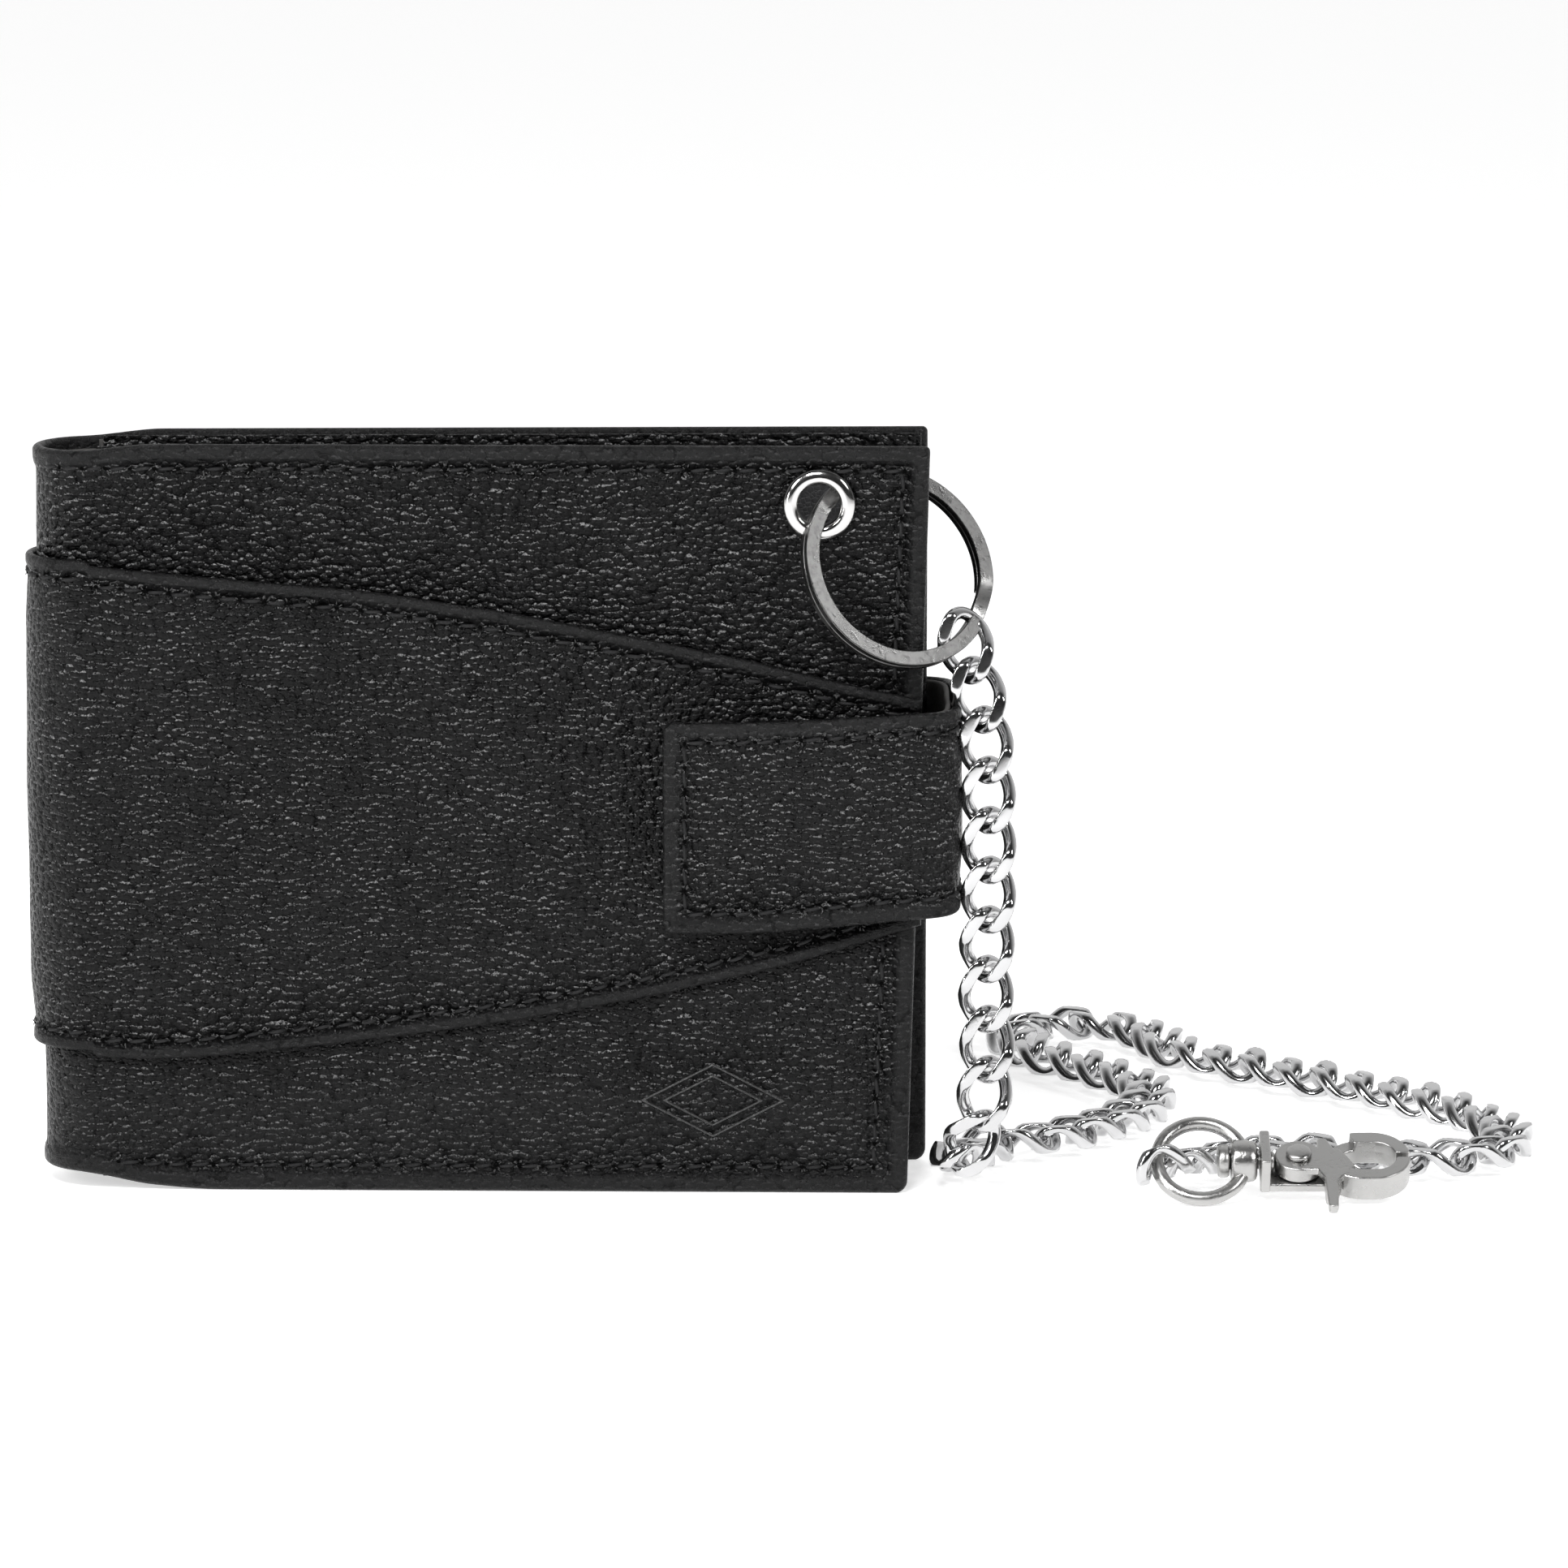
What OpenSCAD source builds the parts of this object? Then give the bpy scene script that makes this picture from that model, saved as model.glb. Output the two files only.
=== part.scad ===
// Chain wallet: a bifold leather wallet that stands on its bottom edges, with a closing strap, an eyelet with a split ring, a curb chain and a swivel clasp.
// Origin: middle of the wallet's footprint. +Z up, the spine at -X, the opening edge at +X, the front cover faces -Y.

/* [Wallet] */
// Width from the spine to the opening edge
wallet_w = 115; // [112:0.5:118]
// Height of the standing wallet
wallet_h = 97.5; // [96:0.5:101]
// How far the front cover's lower corner is set back from the opening edge
cover_slant = 2.7; // [0:0.1:4]
// Angle by which each half stands open at the spine
half_open = 1.25; // [1:0.05:1.5]
// Thickness of the outer leather
cover_t = 1.5; // [1.3:0.1:1.6]
// Thickness of a lining
lining_t = 0.6; // [0.4:0.1:0.7]
// Thickness of a card pocket panel
pocket_t = 0.7; // [0.5:0.1:0.8]
// Thickness of the front overlay band
band_t = 1.1; // [0.8:0.1:1.2]

/* [Closing strap] */
// Height of the strap
strap_h = 27; // [24:0.5:28]
// Height of the strap's lower edge above the floor
strap_z = 35.8; // [34:0.1:38]
// Length of the strap's tab on the front
strap_l = 34.5; // [32:0.5:38]

/* [Eyelet and split ring] */
// Outer diameter of the eyelet's flange
eyelet_d = 9.2; // [8.5:0.1:10]
// Bore of the eyelet
eyelet_bore = 5.4; // [5:0.1:5.6]
// Mean radius of the split ring
ring_r = 12.4; // [12.2:0.05:12.6]
// Radial width of the split ring's wire
ring_w = 1.8; // [1.6:0.1:1.9]
// Height of both coils of the split ring
ring_t = 1.9; // [1.6:0.1:2]

/* [Chain] */
// Wire thickness of a link
link_wire = 1.6; // [1.3:0.05:1.65]
// Distance between the centres of a link's two end bends
link_straight = 3.2; // [3.1:0.05:3.3]
// Number of links
link_count = 54; // [54:1:54]

/* [Clasp] */
// Radius of the swivel eye, to the middle of its wire
eye_r = 5.7; // [5.6:0.05:5.8]
// Wire thickness of the swivel eye
eye_wire = 1.8; // [1.6:0.1:1.9]
// Outer radius of the jaws
jaw_r = 4.8; // [4.6:0.1:5]
// Opening radius inside the jaws
jaw_bore = 2.7; // [2.5:0.1:2.9]
// Reach of the thumb tab from the clasp's middle
tab_reach = 10.5; // [9:0.5:11]

/* [Hidden] */

leather = [0.09, 0.09, 0.09];
lining_c = [0.16, 0.15, 0.15];
nickel = [0.72, 0.72, 0.72];
dark_nickel = [0.42, 0.42, 0.42];
chrome = [0.85, 0.85, 0.87];

// The wallet with its ring, from the raw layout below to the middle of its footprint
home = [-3.5, 1.4, 0];
module at_home() translate(home) children();

xr = wallet_w/2;            // opening edge
xs = -xr + 7.5;             // axis of the fold, also the hinge axis of the back half
spine_r = 7.5;              // outer radius of the fold
e = 0.05;

// heights inside one half, measured outward (towards the viewer on the front half) from the fold's middle plane
inner0 = 0.35;
y_low = inner0;                       // inner face of the lowest pocket panel
gap = 0.5;
step_t = pocket_t + gap;
y_wall = inner0 + 3*step_t;           // inner face of the inner wall
wall_t = 0.7;
y_lin = spine_r - cover_t - lining_t; // inner face of the lining

// Half of the wallet: children are drawn for the front half, with depth along -Y
module front_half() translate([xs, 0, 0]) rotate([0, 0, -half_open]) children();
module back_half() translate([xs, 0, 0]) rotate([0, 0, half_open]) mirror([0, 1, 0]) children();

// A flat panel, drawn by its outline in (x from the fold, z), from depth d to depth d + t
module panel(outline, d, t) translate([0, -d, 0]) rotate([90, 0, 0]) linear_extrude(height = t) polygon(outline);

wx = xr - xs;   // 107.5: from the fold to the opening edge
front_outline = [[0, 0], [wx - cover_slant - 2, 0], [wx - cover_slant - 0.6, 0.6], [wx - cover_slant, 2], [wx, wallet_h - 1.2], [wx - 0.4, wallet_h - 0.4], [wx - 1.2, wallet_h], [0, wallet_h]];
back_outline = [[0, 0], [wx - 2, 0], [wx - 0.6, 0.6], [wx, 2], [wx, wallet_h - 1.2], [wx - 0.4, wallet_h - 0.4], [wx - 1.2, wallet_h], [0, wallet_h]];
function inset(a, b, z0, z1) = [[a, z0], [b, z0], [b, z1], [a, z1]];

// Split ring: its plane leans through the eyelet
ring_c = [53.2, -7.26, 81.54];
ring_lean = 37.87;   // between the ring's axis and the -Y direction
module ring_frame() translate(ring_c) rotate([90, 0, 0]) rotate([0, 0, 45]) rotate([0, ring_lean, 0]) children();
module ring_body(w, t) rotate_extrude($fn = 96) translate([ring_r, 0]) square([w, t], center = true);
// Room that the soft leather gives the ring, with clearance on every side
module ring_room() ring_frame() ring_body(ring_w + 0.7, ring_t + 0.6);

eye_x = 43.4 - xs; eye_z = 90;   // centre of the eyelet

module eyelet_bore_cut(r) translate([eye_x, 0, eye_z]) rotate([90, 0, 0]) cylinder(h = 30, r = r, center = true, $fn = 48);

module front_cover() color(leather) at_home() difference() {
  front_half() difference() {
    panel(front_outline, spine_r - cover_t, cover_t);
    eyelet_bore_cut(eyelet_bore/2 + 0.55);
    translate([snap_x, 0, snap_z]) rotate([90, 0, 0]) cylinder(h = 30, r = 1.15, center = true, $fn = 32);
  }
  ring_room();
}
module front_lining() color(lining_c) at_home() difference() {
  front_half() difference() {
    panel(inset(0, wx - 4, 1.2, wallet_h - 1.5), y_lin, lining_t);
    eyelet_bore_cut(eyelet_bore/2 + 1.9);
    translate([snap_x, 0, snap_z]) rotate([90, 0, 0]) cylinder(h = 30, r = 3.2, center = true, $fn = 32);
  }
  ring_room();
}
module inner_wall(drop) difference() {
  union() {
    panel(inset(1.5, wx - 3.5, 1.2, wallet_h - drop), y_wall, wall_t);
    // sewn edges that join the wall to the lining, leaving the note compartment open at the top
    panel(inset(1.5, 4, 1.2, wallet_h - 12), y_wall + wall_t, y_lin - y_wall - wall_t);
    panel(inset(wx - 6, wx - 4, 1.2, wallet_h - 30), y_wall + wall_t, y_lin - y_wall - wall_t);
    panel(inset(4, wx - 6, 1.2, 3.2), y_wall + wall_t, y_lin - y_wall - wall_t);
  }
}
module front_inner_wall() color(leather) at_home() difference() { front_half() inner_wall(10); ring_room(); snap_room(); }

// A card pocket panel with sewn rims at both sides and the bottom
module card_pocket(k, top) union() {
  panel(inset(3, wx - 5, 1.2, top), y_low + k*step_t, pocket_t);
  panel(inset(3, 6, 1.2, top), y_low + k*step_t + pocket_t, gap);
  panel(inset(wx - 8, wx - 5, 1.2, top), y_low + k*step_t + pocket_t, gap);
  panel(inset(6, wx - 8, 1.2, 4), y_low + k*step_t + pocket_t, gap);
}
module front_card_pocket_high() color(leather) at_home() difference() { front_half() card_pocket(2, 76); ring_room(); }
module front_card_pocket_mid() color(leather) at_home() difference() { front_half() card_pocket(1, 64); ring_room(); }
module front_card_pocket_low() color(leather) at_home() difference() { front_half() card_pocket(0, 52); ring_room(); }

// Overlay band, tapering towards the opening edge
band_outline = [[0, 18], [12, 17.5], [32, 19], [54, 22.2], [72, 26], [88, 30.2], [wx - 1.6, 36.2], [wx - 1.0, 64.2], [85, 69.6], [72, 72.4], [52, 76.3], [34, 79], [14, 80.8], [0, 81.6]];
snap_x = 30 - xs; snap_z = strap_z + strap_h/2;
// The ornament is a plain lozenge pressed into the lower corner
module lozenge(s) polygon([[-10*s, 0], [0, -5.5*s], [10*s, 0], [0, 5.5*s]]);
module front_band() color(leather) at_home() front_half() difference() {
  panel(band_outline, spine_r, band_t);
  translate([snap_x, 0, snap_z]) rotate([90, 0, 0]) cylinder(h = 30, r = 1.15, center = true, $fn = 32);
}
module front_ornament() color(leather) at_home() front_half() translate([84, -spine_r, 14]) rotate([90, 0, 0]) linear_extrude(height = 0.3) difference() { lozenge(1); lozenge(0.72); }

// Fold of the spine: half tubes about the hinge axis
module fold(r1, r0, z0, z1) translate([xs, 0, z0]) difference() {
  cylinder(h = z1 - z0, r = r1, $fn = 96);
  translate([0, 0, -1]) cylinder(h = z1 - z0 + 2, r = r0, $fn = 96);
  // the front and back panels start at the two planes where the halves begin
  translate([0, 0, -1]) rotate([0, 0, -half_open]) translate([0, -20, 0]) cube([20, 20, z1 - z0 + 2]);
  translate([0, 0, -1]) rotate([0, 0, half_open]) cube([20, 20, z1 - z0 + 2]);
  translate([0, -1, -1]) cube([20, 2, z1 - z0 + 2]);
}
module spine_cover() color(leather) at_home() fold(spine_r, spine_r - cover_t, 0, wallet_h);
module spine_lining() color(lining_c) at_home() fold(spine_r - cover_t, y_lin, 1.2, wallet_h - 1.5);
module spine_band() color(leather) at_home() fold(spine_r + band_t, spine_r, 18, 81.6);

// Eyelet: a turned flange and tube, closed over a washer behind the lining
module eyelet_at() front_half() translate([eye_x, 0, eye_z]) rotate([90, 0, 0]) children();
module eyelet_flange() color(nickel) at_home() difference() {
  eyelet_at() rotate_extrude($fn = 64) polygon([
    [eyelet_bore/2, y_lin - 0.5], [eyelet_bore/2 + 0.45, y_lin - 0.5], [eyelet_bore/2 + 0.45, spine_r],
    [eyelet_d/2, spine_r], [eyelet_d/2, spine_r + 0.25], [eyelet_d/2 - 0.6, spine_r + 0.7], [eyelet_bore/2 + 0.4, spine_r + 0.7], [eyelet_bore/2, spine_r + 0.3]]);
  ring_room();
}
module eyelet_washer() color(nickel) at_home() difference() {
  eyelet_at() translate([0, 0, y_lin - 0.3]) difference() {
    cylinder(h = lining_t + 0.25, r = eyelet_bore/2 + 1.8, $fn = 64);
    translate([0, 0, -1]) cylinder(h = 5, r = eyelet_bore/2 + 0.5, $fn = 64);
  }
  ring_room();
}

// Hidden snap: stud on the band, socket in the tab
module snap_at() front_half() translate([snap_x, 0, snap_z]) rotate([90, 0, 0]) children();
module snap_stud() color(nickel) at_home() snap_at() rotate_extrude($fn = 48) polygon([
  [0, y_lin + 0.1], [1.1, y_lin + 0.1], [1.1, spine_r + band_t + 0.02], [3.2, spine_r + band_t + 0.02], [3.2, spine_r + band_t + 0.35], [1.5, spine_r + band_t + 0.35], [1.7, spine_r + band_t + 1.3], [1.2, spine_r + band_t + 1.6], [0, spine_r + band_t + 1.6]]);
module snap_stud_base() color(nickel) at_home() snap_at() translate([0, 0, y_lin + 0.1]) difference() {
  cylinder(h = lining_t - 0.1, r = 3, $fn = 48);
  translate([0, 0, -1]) cylinder(h = 3, r = 1.15, $fn = 48);
}
module snap_room() snap_at() translate([0, 0, y_wall + 0.2]) cylinder(h = 1.2, r = 3.4, $fn = 32);

module back_cover() color(leather) at_home() back_half() panel(back_outline, spine_r - cover_t, cover_t);
module back_lining() color(lining_c) at_home() back_half() panel(inset(0, wx - 4, 1.2, wallet_h - 1.5), y_lin, lining_t);
module back_inner_wall() color(leather) at_home() back_half() inner_wall(5);
module back_card_pocket_high() color(leather) at_home() back_half() card_pocket(2, 76);
module back_card_pocket_mid() color(leather) at_home() back_half() card_pocket(1, 64);
module back_card_pocket_low() color(leather) at_home() back_half() card_pocket(0, 52);
back_band_outline = [[0, 18], [12, 17.5], [32, 19], [54, 22.2], [72, 26], [88, 30.2], [wx - 1.6, 33], [wx - 1.0, 66], [85, 69.6], [72, 72.4], [52, 76.3], [34, 79], [14, 80.8], [0, 81.6]];
module back_band() color(leather) at_home() back_half() panel(back_band_outline, spine_r, band_t);

// Closing strap: the anchor runs from the back band round the opening edge, and the tab is hinged to it at the front corner
strap_t = 2.0;
yb = 12.3;        // outer face of the strap at the back
yf = -13.6;       // outer face of the tab at the front
hx = xr + 1.7; hy = yf + 1.0;   // hinge axis of the tab
module strap_anchor() color(leather) at_home() translate([0, 0, strap_z]) linear_extrude(height = strap_h) polygon([
  [xr - 26, 10.93], [xr + 0.4, 11.4], [xr + 0.9, 11.0], [xr + 1.3, 8], [xr + 1.3, yf + 2.3],
  [xr + 3.2, yf + 2.3], [xr + 3.4, 8], [xr + 2.9, 11.4], [xr + 1.4, 13.2], [xr - 0.4, 13.4], [xr - 26, 12.9]]);
module strap_tab() color(leather) at_home() difference() {
  union() {
    translate([0, 0, strap_z]) linear_extrude(height = strap_h) polygon([[xr - strap_l + 0.6, yf], [hx, yf + 0.01], [hx, yf + 1.2], [xr - strap_l, yf + 1.2], [xr - strap_l, yf + 0.5]]);
    translate([hx, hy, strap_z]) cylinder(h = strap_h, r = 1.0, $fn = 48);
  }
  translate([30, yf + 0.5, snap_z]) rotate([-90, 0, 0]) cylinder(h = 3, r = 4.3, $fn = 48);
}
module strap_tab_lining() color(lining_c) at_home() difference() {
  translate([0, 0, strap_z]) linear_extrude(height = strap_h) polygon([[xr - strap_l + 0.5, yf + 1.2], [hx - 1.2, yf + 1.2], [hx - 1.2, yf + 2.0], [xr - strap_l + 0.5, yf + 2.0]]);
  translate([30, yf + 0.5, snap_z]) rotate([-90, 0, 0]) cylinder(h = 3, r = 4.3, $fn = 48);
}
module snap_socket_cap() color(nickel) at_home() translate([30, yf + 0.55, snap_z]) rotate([-90, 0, 0]) cylinder(h = 0.35, r = 4.2, $fn = 48);
module snap_socket() color(nickel) at_home() translate([30, yf + 0.9, snap_z]) rotate([-90, 0, 0]) difference() {
  cylinder(h = 1.3, r = 3.9, $fn = 48);
  translate([0, 0, 0.25]) cylinder(h = 3, r = 2.3, $fn = 48);
}

module split_ring() color(dark_nickel) at_home() ring_frame() rotate_extrude($fn = 96) translate([ring_r, 0]) difference() {
  square([ring_w, ring_t], center = true);
  // groove between the two coils, at the outside and the inside
  translate([ring_w/2, 0]) square([0.7, 0.12], center = true);
  translate([-ring_w/2, 0]) square([0.7, 0.12], center = true);
}

// Route of the chain: [x, y, z, then the direction that the flat of the chain faces]
route = [
  [61.9, -7.8, 71.5, 0, -1, 0],
  [64.5, -9.4, 60, 0, -1, 0],
  [65, -10, 44, 0, -1, 0],
  [64.8, -10, 28, 0, -1, 0],
  [64.6, -11, 14, 0, -1, 0],
  [62.6, -11, 7, 0, -1, 0],
  [61.1, -8, 4.6, 0, -0.2, -1],
  [62.6, -0.5, 3, 0, 0, -1],
  [66, 6, 3, 0, 0, -1],
  [74, 10, 3, 0, 0, -1],
  [82, 18, 3, 0, 0, -1],
  [87.5, 29, 3, 0, 0, -1],
  [87, 40, 3, 0, 0, -1],
  [80, 52, 3, 0, 0, -1],
  [73, 62, 3, 0, 0, -1],
  [70.5, 72.5, 3, 0, 0, -1],
  [75.5, 79, 3, 0, 0, -1],
  [83.5, 79, 3, 0, 0, -1],
  [89.5, 72, 3, 0, 0, -1],
  [93, 62, 3, 0, 0, -1],
  [102, 53, 3, 0, 0, -1],
  [112, 44, 3, 0, 0, -1],
  [122, 34, 3, 0, 0, -1],
  [130, 23, 3, 0, 0, -1],
  [134, 11, 3, 0, 0, -1],
  [131, 1, 3, 0, 0, -1],
  [121, -2.5, 3, 0, 0, -1],
  [110, 1, 3, 0, 0, -1],
  [100, 0.5, 3, 0, 0, -1],
  [92, -7.5, 3.7, 0, -0.3, -1],
  [87.5, -13, 4.6, 0, -0.7, -0.7]
];
// Smooth curve through the route points
function cr(a, b, c, d, t) = 0.5*((2*b) + (c - a)*t + (2*a - 5*b + 4*c - d)*t*t + (3*b - a - 3*c + d)*t*t*t);
nr = len(route);
ext = concat([2*route[0] - route[1]], route, [2*route[nr-1] - route[nr-2]]);
fine = concat([for (i = [1:nr-1]) for (k = [0:11]) cr(ext[i-1], ext[i], ext[i+1], ext[i+2], k/12)], [route[nr-1]]);
function p3(v) = [v[0], v[1], v[2]];
nf = len(fine);
function cumul(i, acc) = i >= nf ? [] : let (s = acc + norm(p3(fine[i]) - p3(fine[i-1]))) concat([s], cumul(i + 1, s));
run = concat([0], cumul(1, 0));
total = run[nf-1];
pitch = total/(link_count - 1);
function seg(s, i = 0) = (i >= nf - 2 || run[i+1] >= s) ? i : seg(s, i + 1);
function at(s) = let (q = min(max(s, 0), total), i = seg(q)) fine[i] + (fine[i+1] - fine[i])*((q - run[i])/(run[i+1] - run[i]));
function unit(v) = v/norm(v);

// One link: two half-turn bends and two straight sides, long axis along X, flat in XY
link_r = 2.8;
module link() {
  for (m = [0, 1]) mirror([m, 0, 0]) translate([link_straight/2, 0, 0]) rotate([0, 0, -90]) rotate_extrude(angle = 180, $fn = 24) translate([link_r, 0]) circle(r = link_wire/2, $fn = 16);
  for (q = [-1, 1]) translate([0, q*link_r, 0]) rotate([0, 90, 0]) cylinder(h = link_straight, r = link_wire/2, center = true, $fn = 16);
}
// Links a to b: every second one is rolled the other way by 90 degrees
module links(a, b) color(chrome) at_home() for (i = [a:b]) {
  s = i*pitch;
  m = at(s);
  t = unit(p3(at(s + pitch/2)) - p3(at(s - pitch/2)));
  n0 = [m[3], m[4], m[5]];
  n = unit(n0 - (n0*t)*t);
  b3 = cross(n, t);
  roll = i % 2 == 1 ? -45 : 45;
  v = cos(roll)*b3 + sin(roll)*n;
  w = cross(t, v);
  multmatrix([[t[0], v[0], w[0], m[0]], [t[1], v[1], w[1], m[1]], [t[2], v[2], w[2], m[2]], [0, 0, 0, 1]]) link();
}
module chain_hanging() links(0, 9);
module chain_curl() links(10, 15);
module chain_floor_left() links(16, 23);
module chain_floor_far() links(24, 32);
module chain_floor_back() links(33, 41);
module chain_floor_right() links(42, 49);
module chain_end() links(50, 53);

// Clasp: u runs along its length from the yoke, the swivel axis is y = swivel_y, z = swivel_z
swivel_x = 100; swivel_y = -13; swivel_z = 5.05;
body_roll = 25; eye_roll = 45;
module clasp_frame(roll) translate([swivel_x, swivel_y, swivel_z]) rotate([roll, 0, 0]) children();

module clasp_swivel_eye() color(nickel) at_home() clasp_frame(eye_roll) difference() {
  union() {
    translate([-7.6, 0, 0]) rotate_extrude($fn = 72) translate([eye_r, 0]) circle(r = eye_wire/2, $fn = 24);
    translate([-3.7, 0, 0]) rotate([0, 90, 0]) cylinder(h = 3.3, r = 2.6, $fn = 40);
  }
  translate([-9, 0, 0]) rotate([0, 90, 0]) cylinder(h = 12, r = 1.15, $fn = 40);
  // the inside of the swivel is bored clear for the pin's head
  translate([-6.2, 0, 0]) rotate([0, 90, 0]) cylinder(h = 2.4, r = 2.35, $fn = 40);
}
module clasp_swivel_pin() color(nickel) at_home() clasp_frame(body_roll) difference() {
  union() {
    translate([-5.4, 0, 0]) rotate([0, 90, 0]) cylinder(h = 1.5, r = 2.1, $fn = 40);
    translate([-4, 0, 0]) rotate([0, 90, 0]) cylinder(h = 5.5, r = 1.0, $fn = 40);
    translate([1.35, 0, 0]) rotate([0, 90, 0]) cylinder(h = 0.5, r = 1.3, $fn = 40);
  }
}
rivet_u = 5; jaw_u = 13.8;
module jaw_ring(r, q) union() { translate([-q, 0]) circle(r = r, $fn = 64); translate([q, 0]) circle(r = r, $fn = 64); square([2*q, 2*r - 0.02], center = true); }
module jaw_2d() difference() { jaw_ring(jaw_r, 0.8); jaw_ring(jaw_bore, 1.1); }
module clasp_body() color(nickel) at_home() clasp_frame(body_roll) difference() {
  union() {
    translate([0, -3.3, -2.6]) cube([1.3, 6.6, 5.1]);
    translate([0.5, -3.2, -2.6]) cube([8.3, 6.4, 1.2]);
    translate([0, 0, -2.6]) linear_extrude(height = 3.6) intersection() {
      translate([jaw_u, 0]) jaw_2d();
      polygon([[9.6, 0.6], [22, 0.6], [22, 8], [8, 8], [8, 0.6]]);
    }
    translate([0, 0, -2.6]) linear_extrude(height = 1.2) polygon([[8, 0.6], [11.2, 0.6], [11.2, 3.2], [8, 3.2]]);
  }
  translate([-1, 0, 0]) rotate([0, 90, 0]) cylinder(h = 3, r = 1.05, $fn = 40);
  translate([rivet_u, 0, -4]) cylinder(h = 6, r = 0.85, $fn = 32);
  // room for the lever's cross arm over the back jaw
  translate([6, -1, -0.35]) cube([5.6, 8, 3]);
}
module clasp_rivet() color(nickel) at_home() clasp_frame(body_roll) translate([rivet_u, 0, 0]) union() {
  translate([0, 0, -3]) cylinder(h = 0.4, r = 1.3, $fn = 32);
  translate([0, 0, -3]) cylinder(h = 4.5, r = 0.78, $fn = 32);
  translate([0, 0, 1.1]) cylinder(h = 0.7, r = 1.6, $fn = 32);
}
module clasp_spring() color(dark_nickel) at_home() clasp_frame(body_roll) translate([rivet_u, 0, -1.15]) difference() {
  cylinder(h = 0.7, r = 1.75, $fn = 32);
  translate([0, 0, -1]) cylinder(h = 3, r = 1.25, $fn = 32);
}
module clasp_lever() color(nickel) at_home() clasp_frame(body_roll) difference() {
  union() {
    translate([rivet_u, 0, -1.2]) cylinder(h = 2.2, r = 3.1, $fn = 64);
    translate([0, 0, -0.1]) linear_extrude(height = 1.1) polygon([[5, -3.0], [8.2, -4.4], [8.2, -tab_reach], [9.6, -tab_reach], [9.8, -4.4], [11.2, -3.2], [11.2, 0.2], [9.8, 1.6], [8.4, 3.6], [7.6, 3.6], [7.8, 1.6], [5, 1.6]]);
    translate([8.2, -tab_reach, -0.3]) cube([1.4, 4.2, 1.3]);
    translate([8.2, -6.9, -1.9]) cube([1.4, 2.4, 2.9]);
    translate([0, 0, -2.6]) linear_extrude(height = 3.6) intersection() {
      translate([jaw_u, 0]) jaw_2d();
      polygon([[10.6, 0.2], [22, 0.2], [22, -8], [9.6, -8], [9.6, -2.2]]);
    }
  }
  translate([rivet_u, 0, -4]) cylinder(h = 8, r = 0.86, $fn = 32);
  translate([rivet_u, 0, -2]) cylinder(h = 1.6, r = 1.85, $fn = 32);
}

front_cover();
front_lining();
front_inner_wall();
front_card_pocket_high();
front_card_pocket_mid();
front_card_pocket_low();
front_band();
front_ornament();
spine_cover();
spine_lining();
spine_band();
eyelet_flange();
eyelet_washer();
snap_stud();
snap_stud_base();
back_cover();
back_lining();
back_inner_wall();
back_card_pocket_high();
back_card_pocket_mid();
back_card_pocket_low();
back_band();
strap_anchor();
strap_tab();
strap_tab_lining();
snap_socket();
snap_socket_cap();
split_ring();
chain_hanging();
chain_curl();
chain_floor_left();
chain_floor_far();
chain_floor_back();
chain_floor_right();
chain_end();
clasp_swivel_eye();
clasp_body();
clasp_swivel_pin();
clasp_rivet();
clasp_spring();
clasp_lever();
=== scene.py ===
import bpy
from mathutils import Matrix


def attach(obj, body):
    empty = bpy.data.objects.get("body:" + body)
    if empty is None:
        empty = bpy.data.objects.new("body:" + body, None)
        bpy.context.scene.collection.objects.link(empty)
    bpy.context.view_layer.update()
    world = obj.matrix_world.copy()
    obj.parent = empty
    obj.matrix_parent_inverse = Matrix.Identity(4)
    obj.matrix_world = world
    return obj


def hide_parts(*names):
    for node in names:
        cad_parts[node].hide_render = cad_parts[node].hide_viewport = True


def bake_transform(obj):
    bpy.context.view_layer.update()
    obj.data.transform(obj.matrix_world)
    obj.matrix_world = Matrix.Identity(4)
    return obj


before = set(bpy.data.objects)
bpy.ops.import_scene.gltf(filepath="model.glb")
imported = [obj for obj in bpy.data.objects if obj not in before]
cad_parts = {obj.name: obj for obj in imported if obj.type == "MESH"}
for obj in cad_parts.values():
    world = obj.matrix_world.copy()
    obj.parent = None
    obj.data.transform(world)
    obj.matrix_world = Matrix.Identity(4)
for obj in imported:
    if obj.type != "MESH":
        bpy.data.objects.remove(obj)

import math

import bpy
import numpy as np
from mathutils import Matrix, Vector, kdtree

# Lengths below are in millimetres in the wallet's own layout; W() turns them into the row frame.
HOME = np.array([-3.5, 1.4, 0.0])


def W(p):
    return (np.asarray(p, float) + HOME) * 0.001


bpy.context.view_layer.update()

# ------------------------------------------------------------------ camera
AZ, EL, DIST = 0.0, 10.5, 1000.0
MM_PER_PX = 0.1045
target = np.array([38.7, -5.0, 53.0])
el = math.radians(EL)
back = np.array([0.0, -math.cos(el), math.sin(el)])
cam_data = bpy.data.cameras.new("camera")
cam = bpy.data.objects.new("camera", cam_data)
bpy.context.scene.collection.objects.link(cam)
cam.location = Vector(W(target + back * DIST))
cam.rotation_euler = (math.radians(90 - EL), 0.0, 0.0)
cam_data.sensor_width = 36.0
cam_data.angle = 2 * math.atan(966 * MM_PER_PX / DIST)
cam_data.clip_start = 0.01
cam_data.clip_end = 50.0
bpy.context.scene.camera = cam

# ------------------------------------------------------------------ wallet sizes
WALLET_W, H = 115.0, 97.5
XR = WALLET_W / 2
XS = -XR + 7.5
R0 = 7.5
TILT = math.radians(1.25)
WX = XR - XS
ARC = R0 * (math.pi - 2 * TILT)
COVER_T = 1.5


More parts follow.
